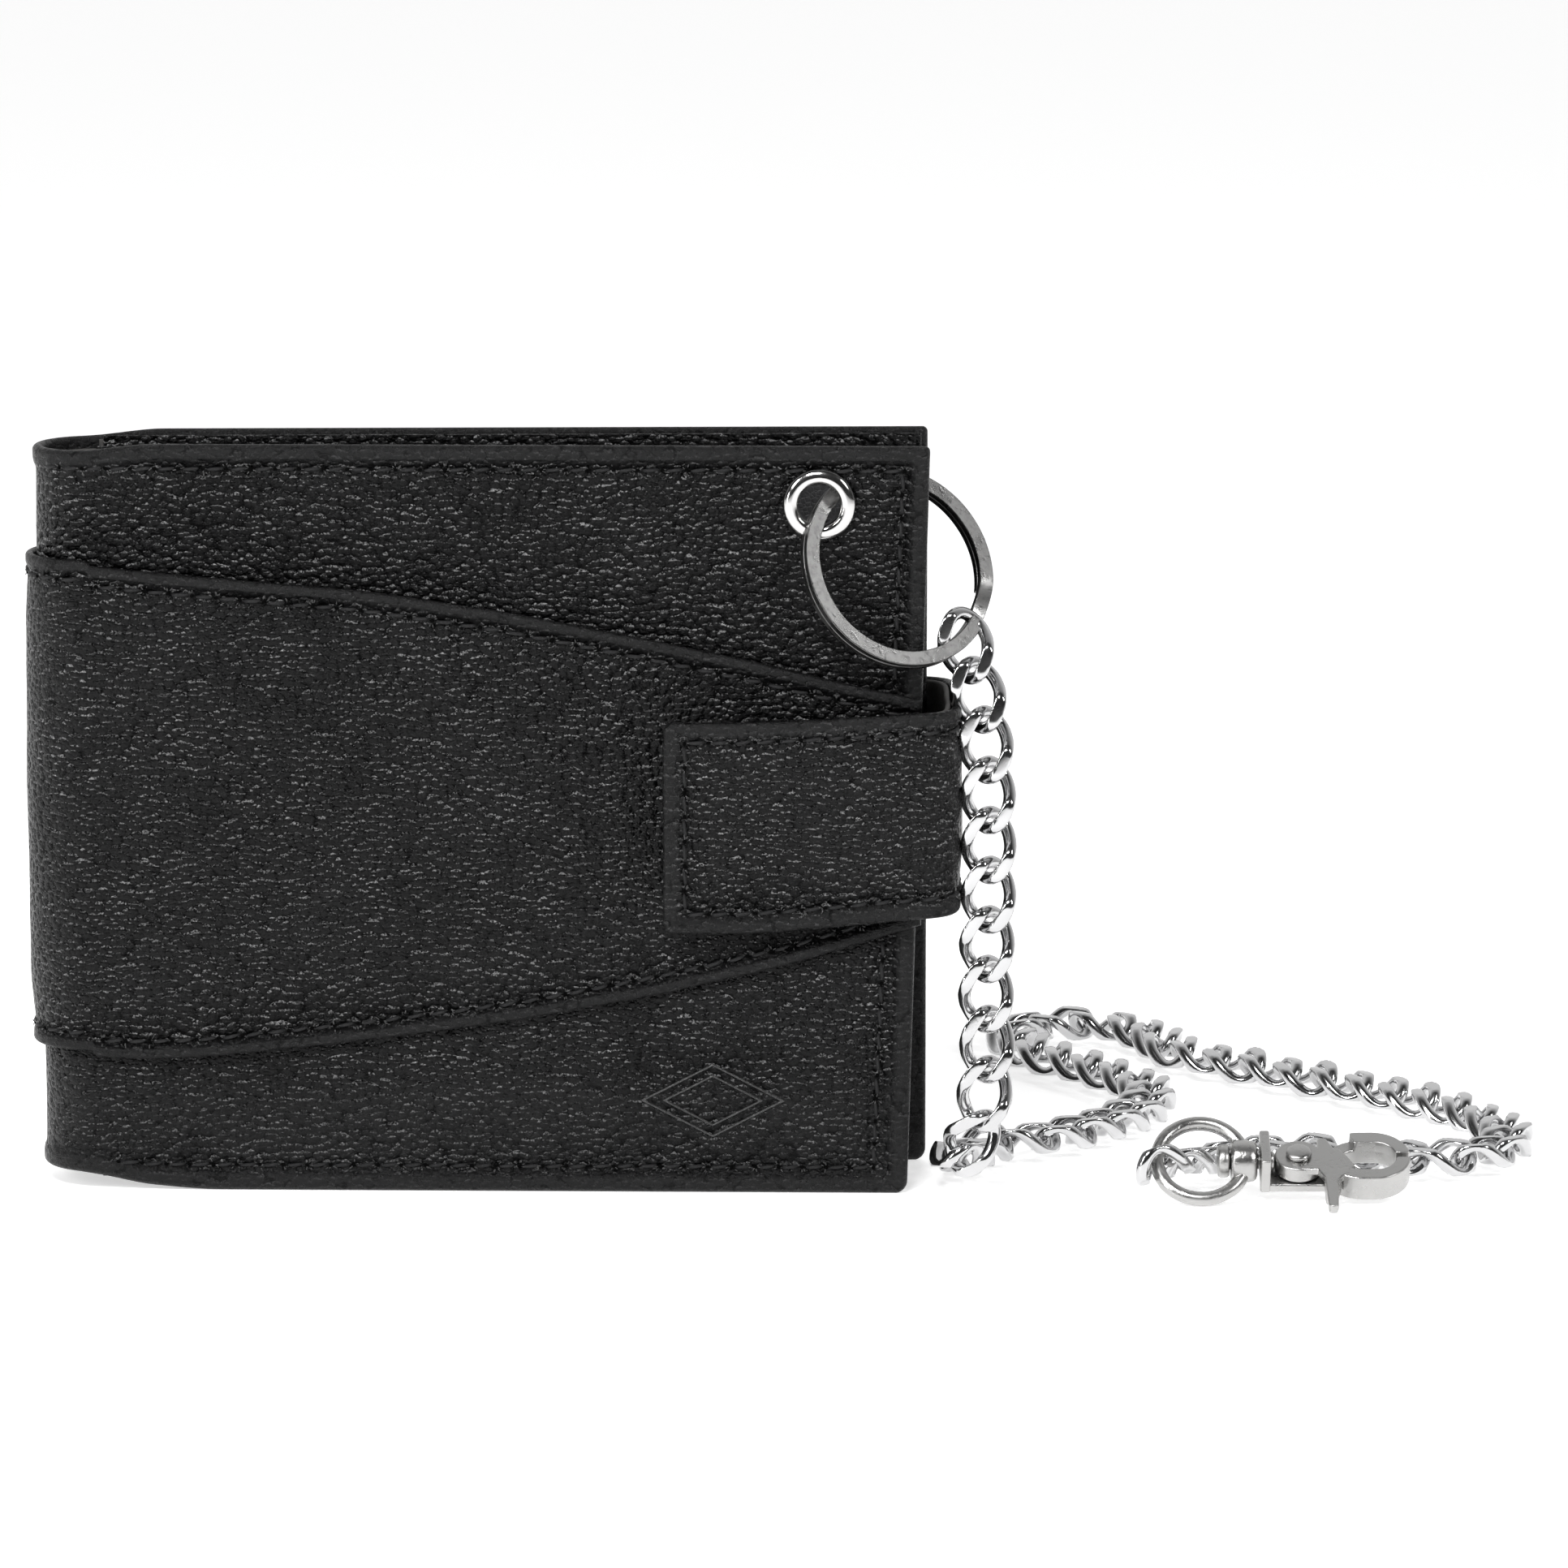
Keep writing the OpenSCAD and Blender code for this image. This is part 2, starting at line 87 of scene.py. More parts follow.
def path(s, off):
    """Point (x, y) and outward normal at run s round the wallet: front below 0, the fold from 0 to ARC, the back after it."""
    s = np.asarray(s, float)
    off = np.asarray(off, float) + np.zeros_like(s)
    ca, sa = math.cos(TILT), math.sin(TILT)
    d = R0 + off
    fx, fy = XS + (-s) * ca - d * sa, s * sa - d * ca
    phi = -(math.pi / 2 + TILT) - np.clip(s, 0, ARC) / ARC * (math.pi - 2 * TILT)
    ax, ay = XS + d * np.cos(phi), d * np.sin(phi)
    b = s - ARC
    bx, by = XS + b * ca - d * sa, b * sa + d * ca
    front, rear = s < 0, s > ARC
    x = np.where(front, fx, np.where(rear, bx, ax))
    y = np.where(front, fy, np.where(rear, by, ay))
    nx = np.where(front, -sa, np.where(rear, -sa, np.cos(phi)))
    ny = np.where(front, -ca, np.where(rear, ca, np.sin(phi)))
    return x, y, nx, ny


def s_of_x(x):
    """Run of a point on the front face, from its x."""
    return -(x - XS + R0 * math.sin(TILT)) / math.cos(TILT)


# ------------------------------------------------------------------ small noise, the same on every run
def lattice_noise(x, z, seed, scale):
    rng = np.random.RandomState(seed)
    n = 64
    table = rng.rand(n, n) * 2 - 1
    u, v = np.asarray(x) / scale + 1000.0, np.asarray(z) / scale + 1000.0
    iu, iv = np.floor(u).astype(int), np.floor(v).astype(int)
    fu, fv = u - iu, v - iv
    fu, fv = fu * fu * (3 - 2 * fu), fv * fv * (3 - 2 * fv)
    a = table[iu % n, iv % n]
    b = table[(iu + 1) % n, iv % n]
    c = table[iu % n, (iv + 1) % n]
    d = table[(iu + 1) % n, (iv + 1) % n]
    return (a * (1 - fu) + b * fu) * (1 - fv) + (c * (1 - fu) + d * fu) * fv


def smooth(a, b, x):
    t = np.clip((np.asarray(x, float) - a) / (b - a), 0, 1)
    return t * t * (3 - 2 * t)


# ------------------------------------------------------------------ mesh helpers
def new_object(name, co, faces, mats, smooth_shade=True, attrs=None, to_row=True):
    co = np.asarray(co, float).reshape(-1, 3)
    if to_row:
        co = W(co)
    me = bpy.data.meshes.new(name)
    faces = [np.asarray(f, int) for f in (faces if isinstance(faces, list) else [faces])]
    faces = [f for f in faces if len(f)]
    counts = np.concatenate([np.full(len(f), f.shape[1]) for f in faces])
    loops = np.concatenate([f.ravel() for f in faces])
    me.vertices.add(len(co))
    me.vertices.foreach_set("co", co.astype(np.float32).ravel())
    me.loops.add(len(loops))
    me.loops.foreach_set("vertex_index", loops.astype(np.int32))
    me.polygons.add(len(counts))
    me.polygons.foreach_set("loop_start", np.concatenate([[0], np.cumsum(counts)[:-1]]).astype(np.int32))
    me.polygons.foreach_set("loop_total", counts.astype(np.int32))
    if smooth_shade:
        me.polygons.foreach_set("use_smooth", np.ones(len(counts), bool))
    me.update(calc_edges=True)
    me.validate()
    for key, val in (attrs or {}).items():
        a = me.attributes.new(key, "FLOAT", "POINT")
        a.data.foreach_set("value", np.asarray(val, np.float32))
    for m in mats if isinstance(mats, (list, tuple)) else [mats]:
        me.materials.append(m)
    ob = bpy.data.objects.new(name, me)
    bpy.context.scene.collection.objects.link(ob)
    return ob


def grid_quads(nu, nv, base=0, flip=False, wrap_u=False, wrap_v=False):
    iu = np.arange(nu if wrap_u else nu - 1)
    iv = np.arange(nv if wrap_v else nv - 1)
    a, b = np.meshgrid(iu, iv, indexing="ij")
    a2, b2 = (a + 1) % nu, (b + 1) % nv
    q = np.stack([a * nv + b, a2 * nv + b, a2 * nv + b2, a * nv + b2], -1).reshape(-1, 4) + base
    return q[:, ::-1] if flip else q


def spaced(n, length, edge=(0, 0.04, 0.12, 0.25, 0.42, 0.65, 0.95, 1.35, 1.8)):
    """Shares from 0 to 1 of a line of that length, with the edge steps at both ends."""
    e0 = np.array(edge) / length
    mid = np.linspace(e0[-1], 1 - e0[-1], max(n, 2))[1:-1]
    return np.concatenate([e0, mid, 1 - e0[::-1]])


def slab(name, us, vs, sfun, zfun, thick, outer, mat, edge_r=None, point=None, attrs_fun=None, flip=False):
    """A sheet of leather. sfun(u, v) and zfun(u, v) give run and height; outer(s, z, d) is how far its outer face stands off the path; thick is its thickness. d is the distance to the nearest edge."""
    U, V = np.meshgrid(us, vs, indexing="ij")
    S, Z = sfun(U, V), zfun(U, V)
    # distance to the edges
    s_a, s_b = sfun(np.zeros_like(U), V), sfun(np.ones_like(U), V)
    z_a, z_b = zfun(U, np.zeros_like(V)), zfun(U, np.ones_like(V))
    d = np.minimum(np.minimum(np.abs(S - s_a), np.abs(S - s_b)), np.minimum(np.abs(Z - z_a), np.abs(Z - z_b)))
    r = thick * 0.5 if edge_r is None else edge_r
    f = np.sqrt(np.clip(1 - (1 - np.clip(d / r, 0, 1)) ** 2, 0, 1))
    o = outer(S, Z, d)
    mid = o - thick / 2
    o1, o0 = mid + thick / 2 * f, mid - thick / 2 * f
    pts = []
    for off in (o1, o0):
        if point is None:
            x, y, _, _ = path(S, off)
            pts.append(np.stack([x, y, Z], -1).reshape(-1, 3))
        else:
            pts.append(point(S, Z, off).reshape(-1, 3))
    nu, nv = len(us), len(vs)
    n = nu * nv
    q1 = grid_quads(nu, nv, 0, flip=flip)
    q0 = grid_quads(nu, nv, n, flip=not flip)
    co = np.concatenate(pts)
    # weld the two rims
    remap = np.arange(2 * n)
    idx = np.arange(n).reshape(nu, nv)
    rim = np.concatenate([idx[0], idx[-1], idx[1:-1, 0], idx[1:-1, -1]])
    remap[rim + n] = rim
    q0 = remap[q0]
    used = np.unique(np.concatenate([q1.ravel(), q0.ravel()]))
    newi = -np.ones(2 * n, int)
    newi[used] = np.arange(len(used))
    attrs = None
    if attrs_fun:
        vals = attrs_fun(S, Z, d)
        attrs = {k: np.concatenate([v.ravel(), v.ravel()])[used] for k, v in vals.items()}
    return new_object(name, co[used], [newi[q1], newi[q0]], mat, attrs=attrs)


def sweep(points, frames, profile, closed=False, caps=True):
    """Verts and faces of a profile [(a, b)] swept along points; frames gives for each point the two unit directions of a and b."""
    P = np.asarray(points, float)
    prof = np.asarray(profile, float)
    A = np.array([f[0] for f in frames])
    B = np.array([f[1] for f in frames])
    co = P[:, None] + prof[None, :, 0:1] * A[:, None] + prof[None, :, 1:2] * B[:, None]
    n, m = len(P), len(prof)
    co = co.reshape(-1, 3)
    faces = [grid_quads(n, m, wrap_u=closed, wrap_v=True)]
    if not closed and caps:
        c0, c1 = len(co), len(co) + 1
        co = np.vstack([co, P[0], P[-1]])
        i = np.arange(m)
        j = (i + 1) % m
        faces.append(np.stack([np.full(m, c0), i, j], -1))
        faces.append(np.stack([np.full(m, c1), (n - 1) * m + j, (n - 1) * m + i], -1))
    return co, faces


def circle_profile(r, n):
    a = np.linspace(0, 2 * np.pi, n, endpoint=False)
    return np.stack([r * np.cos(a), r * np.sin(a)], -1)


def lathe(profile, n=64):
    """Verts and quads of (r, h) points turned about Z. Points with r of 0 close it."""
    prof = np.asarray(profile, float)
    a = np.linspace(0, 2 * np.pi, n, endpoint=False)
    co = np.stack([prof[:, None, 0] * np.cos(a), prof[:, None, 0] * np.sin(a), np.repeat(prof[:, 1:2], n, 1)], -1).reshape(-1, 3)
    return co, [grid_quads(len(prof), n, wrap_v=True)]


def merge(parts):
    co, faces, base = [], {}, 0
    for c, fs in parts:
        co.append(np.asarray(c, float).reshape(-1, 3))
        for f in fs:
            f = np.asarray(f, int)
            if len(f):
                faces.setdefault(f.shape[1], []).append(f + base)
        base += len(co[-1])
    return np.concatenate(co), [np.concatenate(v) for v in faces.values()]


def modifier(ob, kind, name, **vals):
    m = ob.modifiers.new(name, kind)
    for k, v in vals.items():
        setattr(m, k, v)
    return m


def apply_all(ob):
    dg = bpy.context.evaluated_depsgraph_get()
    me = bpy.data.meshes.new_from_object(ob.evaluated_get(dg))
    old = ob.data
    ob.modifiers.clear()
    ob.data = me
    bpy.data.meshes.remove(old)
    return ob


# ------------------------------------------------------------------ materials
def nodes_of(name):
    m = bpy.data.materials.new(name)
    m.use_nodes = True
    nt = m.node_tree
    nt.nodes.clear()
    out = nt.nodes.new("ShaderNodeOutputMaterial")
    bs = nt.nodes.new("ShaderNodeBsdfPrincipled")
    nt.links.new(bs.outputs[0], out.inputs[0])
    return m, nt, bs


def N(nt, kind, **props):
    n = nt.nodes.new(kind)
    for k, v in props.items():
        if k.startswith("in_"):
            key = k[3:]
            n.inputs[int(key) if key.isdigit() else key.replace("_", " ")].default_value = v
        else:
            setattr(n, k, v)
    return n


def ramp(nt, fac, stops):
    r = nt.nodes.new("ShaderNodeValToRGB")
    e = r.color_ramp.elements
    while len(e) < len(stops):
        e.new(0.5)
    for el_, (p, c) in zip(e, stops):
        el_.position = p
        el_.color = (c, c, c, 1) if np.isscalar(c) else (*c, 1)
    nt.links.new(fac, r.inputs[0])
    return r.outputs[0]


def math_node(nt, op, a, b=None, clamp=False):
    n = nt.nodes.new("ShaderNodeMath")
    n.operation = op
    n.use_clamp = clamp
    for i, v in enumerate((a, b)):
        if v is None:
            continue
        if isinstance(v, (int, float)):
            n.inputs[i].default_value = v
        else:
            nt.links.new(v, n.inputs[i])
    return n.outputs[0]


def leather_material(name, base=(0.0042, 0.0042, 0.0044), cell=0.92, depth=0.0016, rough=(0.20, 0.38), spec=0.20):
    m, nt, bs = nodes_of(name)
    tc = N(nt, "ShaderNodeTexCoord")
    # a slight warp makes the rows of grain wander, and the grain is a little wider than tall
    warp = N(nt, "ShaderNodeTexNoise", in_Scale=95.0, in_Detail=2.0)
    nt.links.new(tc.outputs["Object"], warp.inputs["Vector"])
    wv = nt.nodes.new("ShaderNodeVectorMath")
    wv.operation = "MULTIPLY_ADD"
    nt.links.new(warp.outputs["Color"], wv.inputs[0])
    wv.inputs[1].default_value = (0.0018, 0.0018, 0.0018)
    nt.links.new(tc.outputs["Object"], wv.inputs[2])
    st = nt.nodes.new("ShaderNodeVectorMath")
    st.operation = "MULTIPLY"
    nt.links.new(wv.outputs[0], st.inputs[0])
    st.inputs[1].default_value = (0.92, 0.92, 1.12)

    def domes(scale, seed_shift):
        vo = N(nt, "ShaderNodeTexVoronoi", feature="F1", in_Scale=scale, in_Randomness=0.92)
        sh = nt.nodes.new("ShaderNodeVectorMath")
        sh.operation = "ADD"
        sh.inputs[1].default_value = (seed_shift, seed_shift, seed_shift)
        nt.links.new(st.outputs[0], sh.inputs[0])
        nt.links.new(sh.outputs[0], vo.inputs["Vector"])
        d2 = math_node(nt, "POWER", vo.outputs["Distance"], 1.6)
        return math_node(nt, "SUBTRACT", 1.0, d2), vo, sh

    big, vo_big, at_big = domes(1000.0 / cell, 0.0)
    small, _, _ = domes(2300.0 / cell, 0.31)
    micro = N(nt, "ShaderNodeTexNoise", in_Scale=4800.0, in_Detail=3.0, in_Roughness=0.6)
    nt.links.new(tc.outputs["Object"], micro.inputs["Vector"])
    broad = N(nt, "ShaderNodeTexNoise", in_Scale=52.0, in_Detail=3.0)
    nt.links.new(tc.outputs["Object"], broad.inputs["Vector"])
    amount = ramp(nt, broad.outputs["Fac"], [(0.30, 0.62), (0.70, 1.0)])
    at = N(nt, "ShaderNodeAttribute", attribute_name="grain")
    amount = math_node(nt, "MULTIPLY", amount, at.outputs["Fac"])
    h = math_node(nt, "MULTIPLY", small, 0.34)
    h = math_node(nt, "ADD", h, big)
    h = math_node(nt, "MULTIPLY", h, amount)
    # pores in the hollows of the grain
    mh = math_node(nt, "MULTIPLY", micro.outputs["Fac"], 0.13)
    h = math_node(nt, "ADD", h, mh)
    bump = N(nt, "ShaderNodeBump", in_Strength=1.0, in_Distance=depth)
    nt.links.new(h, bump.inputs["Height"])
    nt.links.new(bump.outputs[0], bs.inputs["Normal"])
    # the slopes and hollows of the grain are smoother than its tops, with a little noise added
    wear_and_glint_noise = N(nt, "ShaderNodeTexNoise", in_Scale=300.0, in_Detail=3.0)
    nt.links.new(tc.outputs["Object"], wear_and_glint_noise.inputs["Vector"])
    r1 = ramp(nt, big, [(0.40, rough[0]), (0.70, rough[0] + 0.02), (0.90, rough[1])])
    r2 = math_node(nt, "MULTIPLY", wear_and_glint_noise.outputs["Fac"], 0.12)
    r3 = math_node(nt, "ADD", r1, r2, clamp=True)
    nt.links.new(r3, bs.inputs["Roughness"])
    # painted highlight: the upper brow of each grain gets a lighter base colour and more specular, as thin broken
    # crescents, by height above the grain's own middle
    rel = nt.nodes.new("ShaderNodeVectorMath")
    rel.operation = "MULTIPLY_ADD"
    nt.links.new(at_big.outputs[0], rel.inputs[0])
    k_ = 1000.0 / cell
    rel.inputs[1].default_value = (k_, k_, k_)
    neg = nt.nodes.new("ShaderNodeVectorMath")
    neg.operation = "SCALE"
    nt.links.new(vo_big.outputs["Position"], neg.inputs[0])
    neg.inputs["Scale"].default_value = -k_
    nt.links.new(neg.outputs[0], rel.inputs[2])
    xyz = nt.nodes.new("ShaderNodeSeparateXYZ")
    nt.links.new(rel.outputs[0], xyz.inputs[0])
    painted_glint = ramp(nt, xyz.outputs["Z"], [(0.22, 0.0), (0.36, 1.0), (0.52, 1.0)])
    shred = N(nt, "ShaderNodeTexNoise", in_Scale=3600.0, in_Detail=3.0, in_Roughness=0.7)
    nt.links.new(tc.outputs["Object"], shred.inputs["Vector"])
    painted_glint = math_node(nt, "MULTIPLY", painted_glint, ramp(nt, shred.outputs["Fac"], [(0.46, 0.0), (0.60, 1.0)]))
    painted_glint = math_node(nt, "MULTIPLY", painted_glint, ramp(nt, wear_and_glint_noise.outputs["Fac"], [(0.36, 0.25), (0.62, 1.0)]))
    painted_glint = math_node(nt, "MULTIPLY", painted_glint, at.outputs["Fac"])
    # painted shade: base colour halves in the hollows between grains and is full on their tops
    hollow_shade = tuple(c * 0.5 for c in base)
    mixc = nt.nodes.new("ShaderNodeMix")
    mixc.data_type = "RGBA"
    nt.links.new(painted_glint, mixc.inputs[0])
    nt.links.new(ramp(nt, big, [(0.3, hollow_shade), (0.9, base)]), mixc.inputs[6])
    # painted highlight colour of the glint crescents
    mixc.inputs[7].default_value = (0.27, 0.27, 0.272, 1)
    nt.links.new(mixc.outputs[2], bs.inputs["Base Color"])
    gleam = ramp(nt, big, [(0.28, spec * 0.55), (0.48, spec * 1.1), (0.85, spec)])
    nt.links.new(math_node(nt, "ADD", gleam, math_node(nt, "MULTIPLY", painted_glint, 0.5), clamp=True), bs.inputs["Specular IOR Level"])
    return m


def plain_leather(name, base, rough, depth=0.00004, scale=1500.0):
    m, nt, bs = nodes_of(name)
    tc = N(nt, "ShaderNodeTexCoord")
    no = N(nt, "ShaderNodeTexNoise", in_Scale=scale, in_Detail=4.0, in_Roughness=0.65)
    nt.links.new(tc.outputs["Object"], no.inputs["Vector"])
    vo = N(nt, "ShaderNodeTexVoronoi", feature="DISTANCE_TO_EDGE", in_Scale=scale * 1.1)
    nt.links.new(tc.outputs["Object"], vo.inputs["Vector"])
    cr = ramp(nt, vo.outputs["Distance"], [(0.0, 0.0), (0.15, 0.7), (0.4, 1.0)])
    h = math_node(nt, "ADD", no.outputs["Fac"], cr)
    bump = N(nt, "ShaderNodeBump", in_Strength=1.0, in_Distance=depth)
    nt.links.new(h, bump.inputs["Height"])
    nt.links.new(bump.outputs[0], bs.inputs["Normal"])
    r = ramp(nt, no.outputs["Fac"], [(0.3, rough - 0.06), (0.7, rough + 0.08)])
    nt.links.new(r, bs.inputs["Roughness"])
    c = ramp(nt, no.outputs["Fac"], [(0.25, tuple(x * 0.75 for x in base)), (0.75, tuple(min(1, x * 1.2) for x in base))])
    nt.links.new(c, bs.inputs["Base Color"])
    return m


def metal_material(name, base, rough, pit=0.0, pit_scale=900.0, vary=0.06, bump_d=0.00003, dirt=0.0):
    m, nt, bs = nodes_of(name)
    tc = N(nt, "ShaderNodeTexCoord")
    no = N(nt, "ShaderNodeTexNoise", in_Scale=pit_scale, in_Detail=4.0, in_Roughness=0.6)
    nt.links.new(tc.outputs["Object"], no.inputs["Vector"])
    big = N(nt, "ShaderNodeTexNoise", in_Scale=pit_scale * 0.22, in_Detail=3.0)
    nt.links.new(tc.outputs["Object"], big.inputs["Vector"])
    bs.inputs["Metallic"].default_value = 1.0
    r = ramp(nt, big.outputs["Fac"], [(0.3, max(0.02, rough - vary)), (0.72, rough + vary)])
    nt.links.new(r, bs.inputs["Roughness"])
    lo = tuple(x * (0.80 - dirt) for x in base)
    c = ramp(nt, no.outputs["Fac"], [(0.36, lo), (0.56, base)]) if dirt else ramp(nt, big.outputs["Fac"], [(0.25, tuple(x * 0.9 for x in base)), (0.75, base)])
    nt.links.new(c, bs.inputs["Base Color"])
    if pit:
        p = ramp(nt, no.outputs["Fac"], [(0.30, 0.0), (0.46, 1.0)])
        h = math_node(nt, "ADD", p, big.outputs["Fac"])
        bump = N(nt, "ShaderNodeBump", in_Strength=pit, in_Distance=bump_d)
        nt.links.new(h, bump.inputs["Height"])
        nt.links.new(bump.outputs[0], bs.inputs["Normal"])
    return m


LEATHER = leather_material("black_grain_leather")
LEATHER_FINE = leather_material("black_strap_leather", cell=0.86, depth=0.0014)
POCKET = plain_leather("black_pocket_leather", (0.022, 0.022, 0.023), 0.46)
LINING = plain_leather("dark_lining", (0.045, 0.043, 0.041), 0.72, depth=0.00003, scale=2400.0)
EDGE = plain_leather("raw_leather_edge", (0.16, 0.155, 0.15), 0.7, depth=0.00005, scale=2600.0)
THREAD = plain_leather("black_thread", (0.010, 0.010, 0.0105), 0.5, depth=0.00005, scale=3200.0)
NICKEL = metal_material("polished_nickel", (0.62, 0.615, 0.61), 0.13, pit=0.15, vary=0.04)
ANTIQUE = metal_material("antique_nickel", (0.165, 0.164, 0.162), 0.28, pit=0.30, vary=0.07, dirt=0.10, pit_scale=1300.0)
CHROME = metal_material("polished_chain_steel", (0.60, 0.60, 0.605), 0.14, pit=0.10, vary=0.03)
CAST = metal_material("cast_nickel", (0.47, 0.467, 0.46), 0.31, pit=0.40, vary=0.09, bump_d=0.00004, dirt=0.0, pit_scale=1500.0)
SPRING = metal_material("spring_steel", (0.5, 0.5, 0.52), 0.2)

# ------------------------------------------------------------------ stitches
STITCH = 3.05


def stitch_template(length=2.15, r=0.25, rings=9, sides=8):
    t = np.linspace(-1, 1, rings)
    x = t * length / 2
    h = 0.08 - 0.42 * t**4 - 0.10 * t**2
    P = np.stack([x, np.zeros_like(x), h], -1)
    T = np.gradient(P, axis=0)
    T /= np.linalg.norm(T, axis=1)[:, None]
    frames = []
    for k in range(rings):
        a = np.array([0, 1.0, 0])
        frames.append((a, np.cross(T[k], a)))
    co, faces = sweep(P, frames, circle_profile(1.0, sides))
    # scale each ring about its centre
    rad = r * (1 - 0.45 * np.abs(t) ** 3)
    ring = np.repeat(np.arange(rings), sides)
    co[: rings * sides] = P[ring] + (co[: rings * sides] - P[ring]) * rad[ring][:, None]
    return co, faces


TEMPLATE = stitch_template()


def stitches(name, placed, body_mat=THREAD, slant=7.0, scale=1.0):
    """placed: list of (position, along, normal) in layout millimetres. One object of separate stitches."""
    parts, holes, puckers = [], [], []
    rng = np.random.RandomState(len(placed) * 7 + 3)
    for p, t, n in placed:
        p, t, n = (np.asarray(v, float) for v in (p, t, n))
        n = n / np.linalg.norm(n)
        t = t - n * (t @ n)
        t /= np.linalg.norm(t)
        b = np.cross(n, t)
        a = math.radians(slant + rng.uniform(-2.5, 2.5))
        t2, b2 = t * math.cos(a) + b * math.sin(a), b * math.cos(a) - t * math.sin(a)
        M = np.stack([t2, b2, n], 0)
        k = scale * rng.uniform(0.96, 1.04)
        parts.append(((TEMPLATE[0] * k) @ M + p, TEMPLATE[1]))
        # a near-black disc over the hole at the stitch's end as its painted shade, and the leather puckered round it in
        # lighter leather as painted highlight
        M0 = np.stack([t, b, n], 0)
        end = p + t * STITCH * 0.5 * k / scale
        c_, f_ = HOLE_SHADE_DISC
        holes.append(((c_ * scale) @ M0 + end, f_))
        for j in range(5):
            w = rng.uniform(0, 2 * math.pi)
            rr = rng.uniform(0.42, 0.80) * scale
            d_ = np.array([math.cos(w), math.sin(w), 0.0])
            L = np.stack([d_, np.array([-d_[1], d_[0], 0.0]), np.array([0, 0, 1.0])], 0)
            q = (PUCKER[0] * rng.uniform(0.7, 1.25) * scale) @ L + d_ * rr
            puckers.append((q @ M0 + end, PUCKER[1]))
    co, faces = merge(parts)
    ob = new_object(name, co, faces, body_mat)
    co, faces = merge(holes)
    ho = new_object(name + "_holes", co, faces, HOLE_SHADE_MAT)
    co, faces = merge(puckers)
    pu = new_object(name + "_puckers", co, faces, PUCKER_HIGHLIGHT_MAT)
    return joined(name, [ob, ho, pu])


def blob(rx, ry, rz, n=8, m=5):
    a = np.linspace(0, 2 * np.pi, n, endpoint=False)
    th = np.linspace(0.0, np.pi, m + 2)[1:-1]
    co = [(0, 0, rz)]
    for v in th:
        for w in a:
            co.append((rx * math.sin(v) * math.cos(w), ry * math.sin(v) * math.sin(w), rz * math.cos(v)))
    co.append((0, 0, -rz))
    tri, quad = [], []
    for i in range(n):
        tri.append((0, 1 + i, 1 + (i + 1) % n))
        tri.append((len(co) - 1, 1 + (m - 1) * n + (i + 1) % n, 1 + (m - 1) * n + i))
        for j in range(m - 1):
            quad.append((1 + j * n + i, 1 + (j + 1) * n + i, 1 + (j + 1) * n + (i + 1) % n, 1 + j * n + (i + 1) % n))
    return np.array(co, float), [np.array(tri), np.array(quad)]


def joined(name, obs):
    bpy.ops.object.select_all(action="DESELECT")
    for o in obs:
        o.select_set(True)
    bpy.context.view_layer.objects.active = obs[0]
    bpy.ops.object.join()
    obs[0].name = name
    obs[0].data.name = name
    return obs[0]


# painted shade: a flat near-black disc laid over each stitch hole
HOLE_SHADE_DISC = blob(0.30, 0.24, 0.07)
PUCKER = blob(0.26, 0.085, 0.10, 6, 3)
HOLE_SHADE_MAT = plain_leather("stitch_hole_painted_shade", (0.0008, 0.0008, 0.0008), 0.9)
HOLE_SHADE_MAT.node_tree.nodes["Principled BSDF"].inputs["Specular IOR Level"].default_value = 0.05
# painted highlight: the puckers round stitch holes and the ornament's ridges use this lighter, glossier leather
PUCKER_HIGHLIGHT_MAT = plain_leather("puckered_leather_painted_highlight", (0.035, 0.035, 0.035), 0.25)
THREAD.node_tree.nodes["Principled BSDF"].inputs["Specular IOR Level"].default_value = 0.28


def run_points(fn, a, b, pitch=STITCH, n_fine=400):
    """Points evenly spaced along (s, z) = fn(t) for t from a to b, as the middles of stitches and as the holes between them."""
    t = np.linspace(a, b, n_fine)
    P = np.array([fn(v) for v in t])
    L = np.concatenate([[0], np.cumsum(np.linalg.norm(np.diff(P, axis=0), axis=1))])
    n = max(1, int(round(L[-1] / pitch)))
    mids = (np.arange(n) + 0.5) * L[-1] / n
    holes = np.arange(n + 1) * L[-1] / n
    at = lambda v: np.stack([np.interp(v, L, P[:, 0]), np.interp(v, L, P[:, 1])], -1)
    return at(mids), at(holes)


def on_path(sz, off, other=None):
    """3-D points of (s, z) pairs on the wallet's path."""
    x, y, nx, ny = path(sz[:, 0], off)
    return np.stack([x, y, sz[:, 1]], -1), np.stack([nx, ny, np.zeros_like(nx)], -1)


def place_row(mids, off_fn):
    off = off_fn(mids[:, 0], mids[:, 1])
    P, NN = on_path(mids, off)
    T = np.gradient(P, axis=0) if len(P) > 1 else np.array([[1.0, 0, 0]])
    return [(P[i], T[i], NN[i]) for i in range(len(P))]


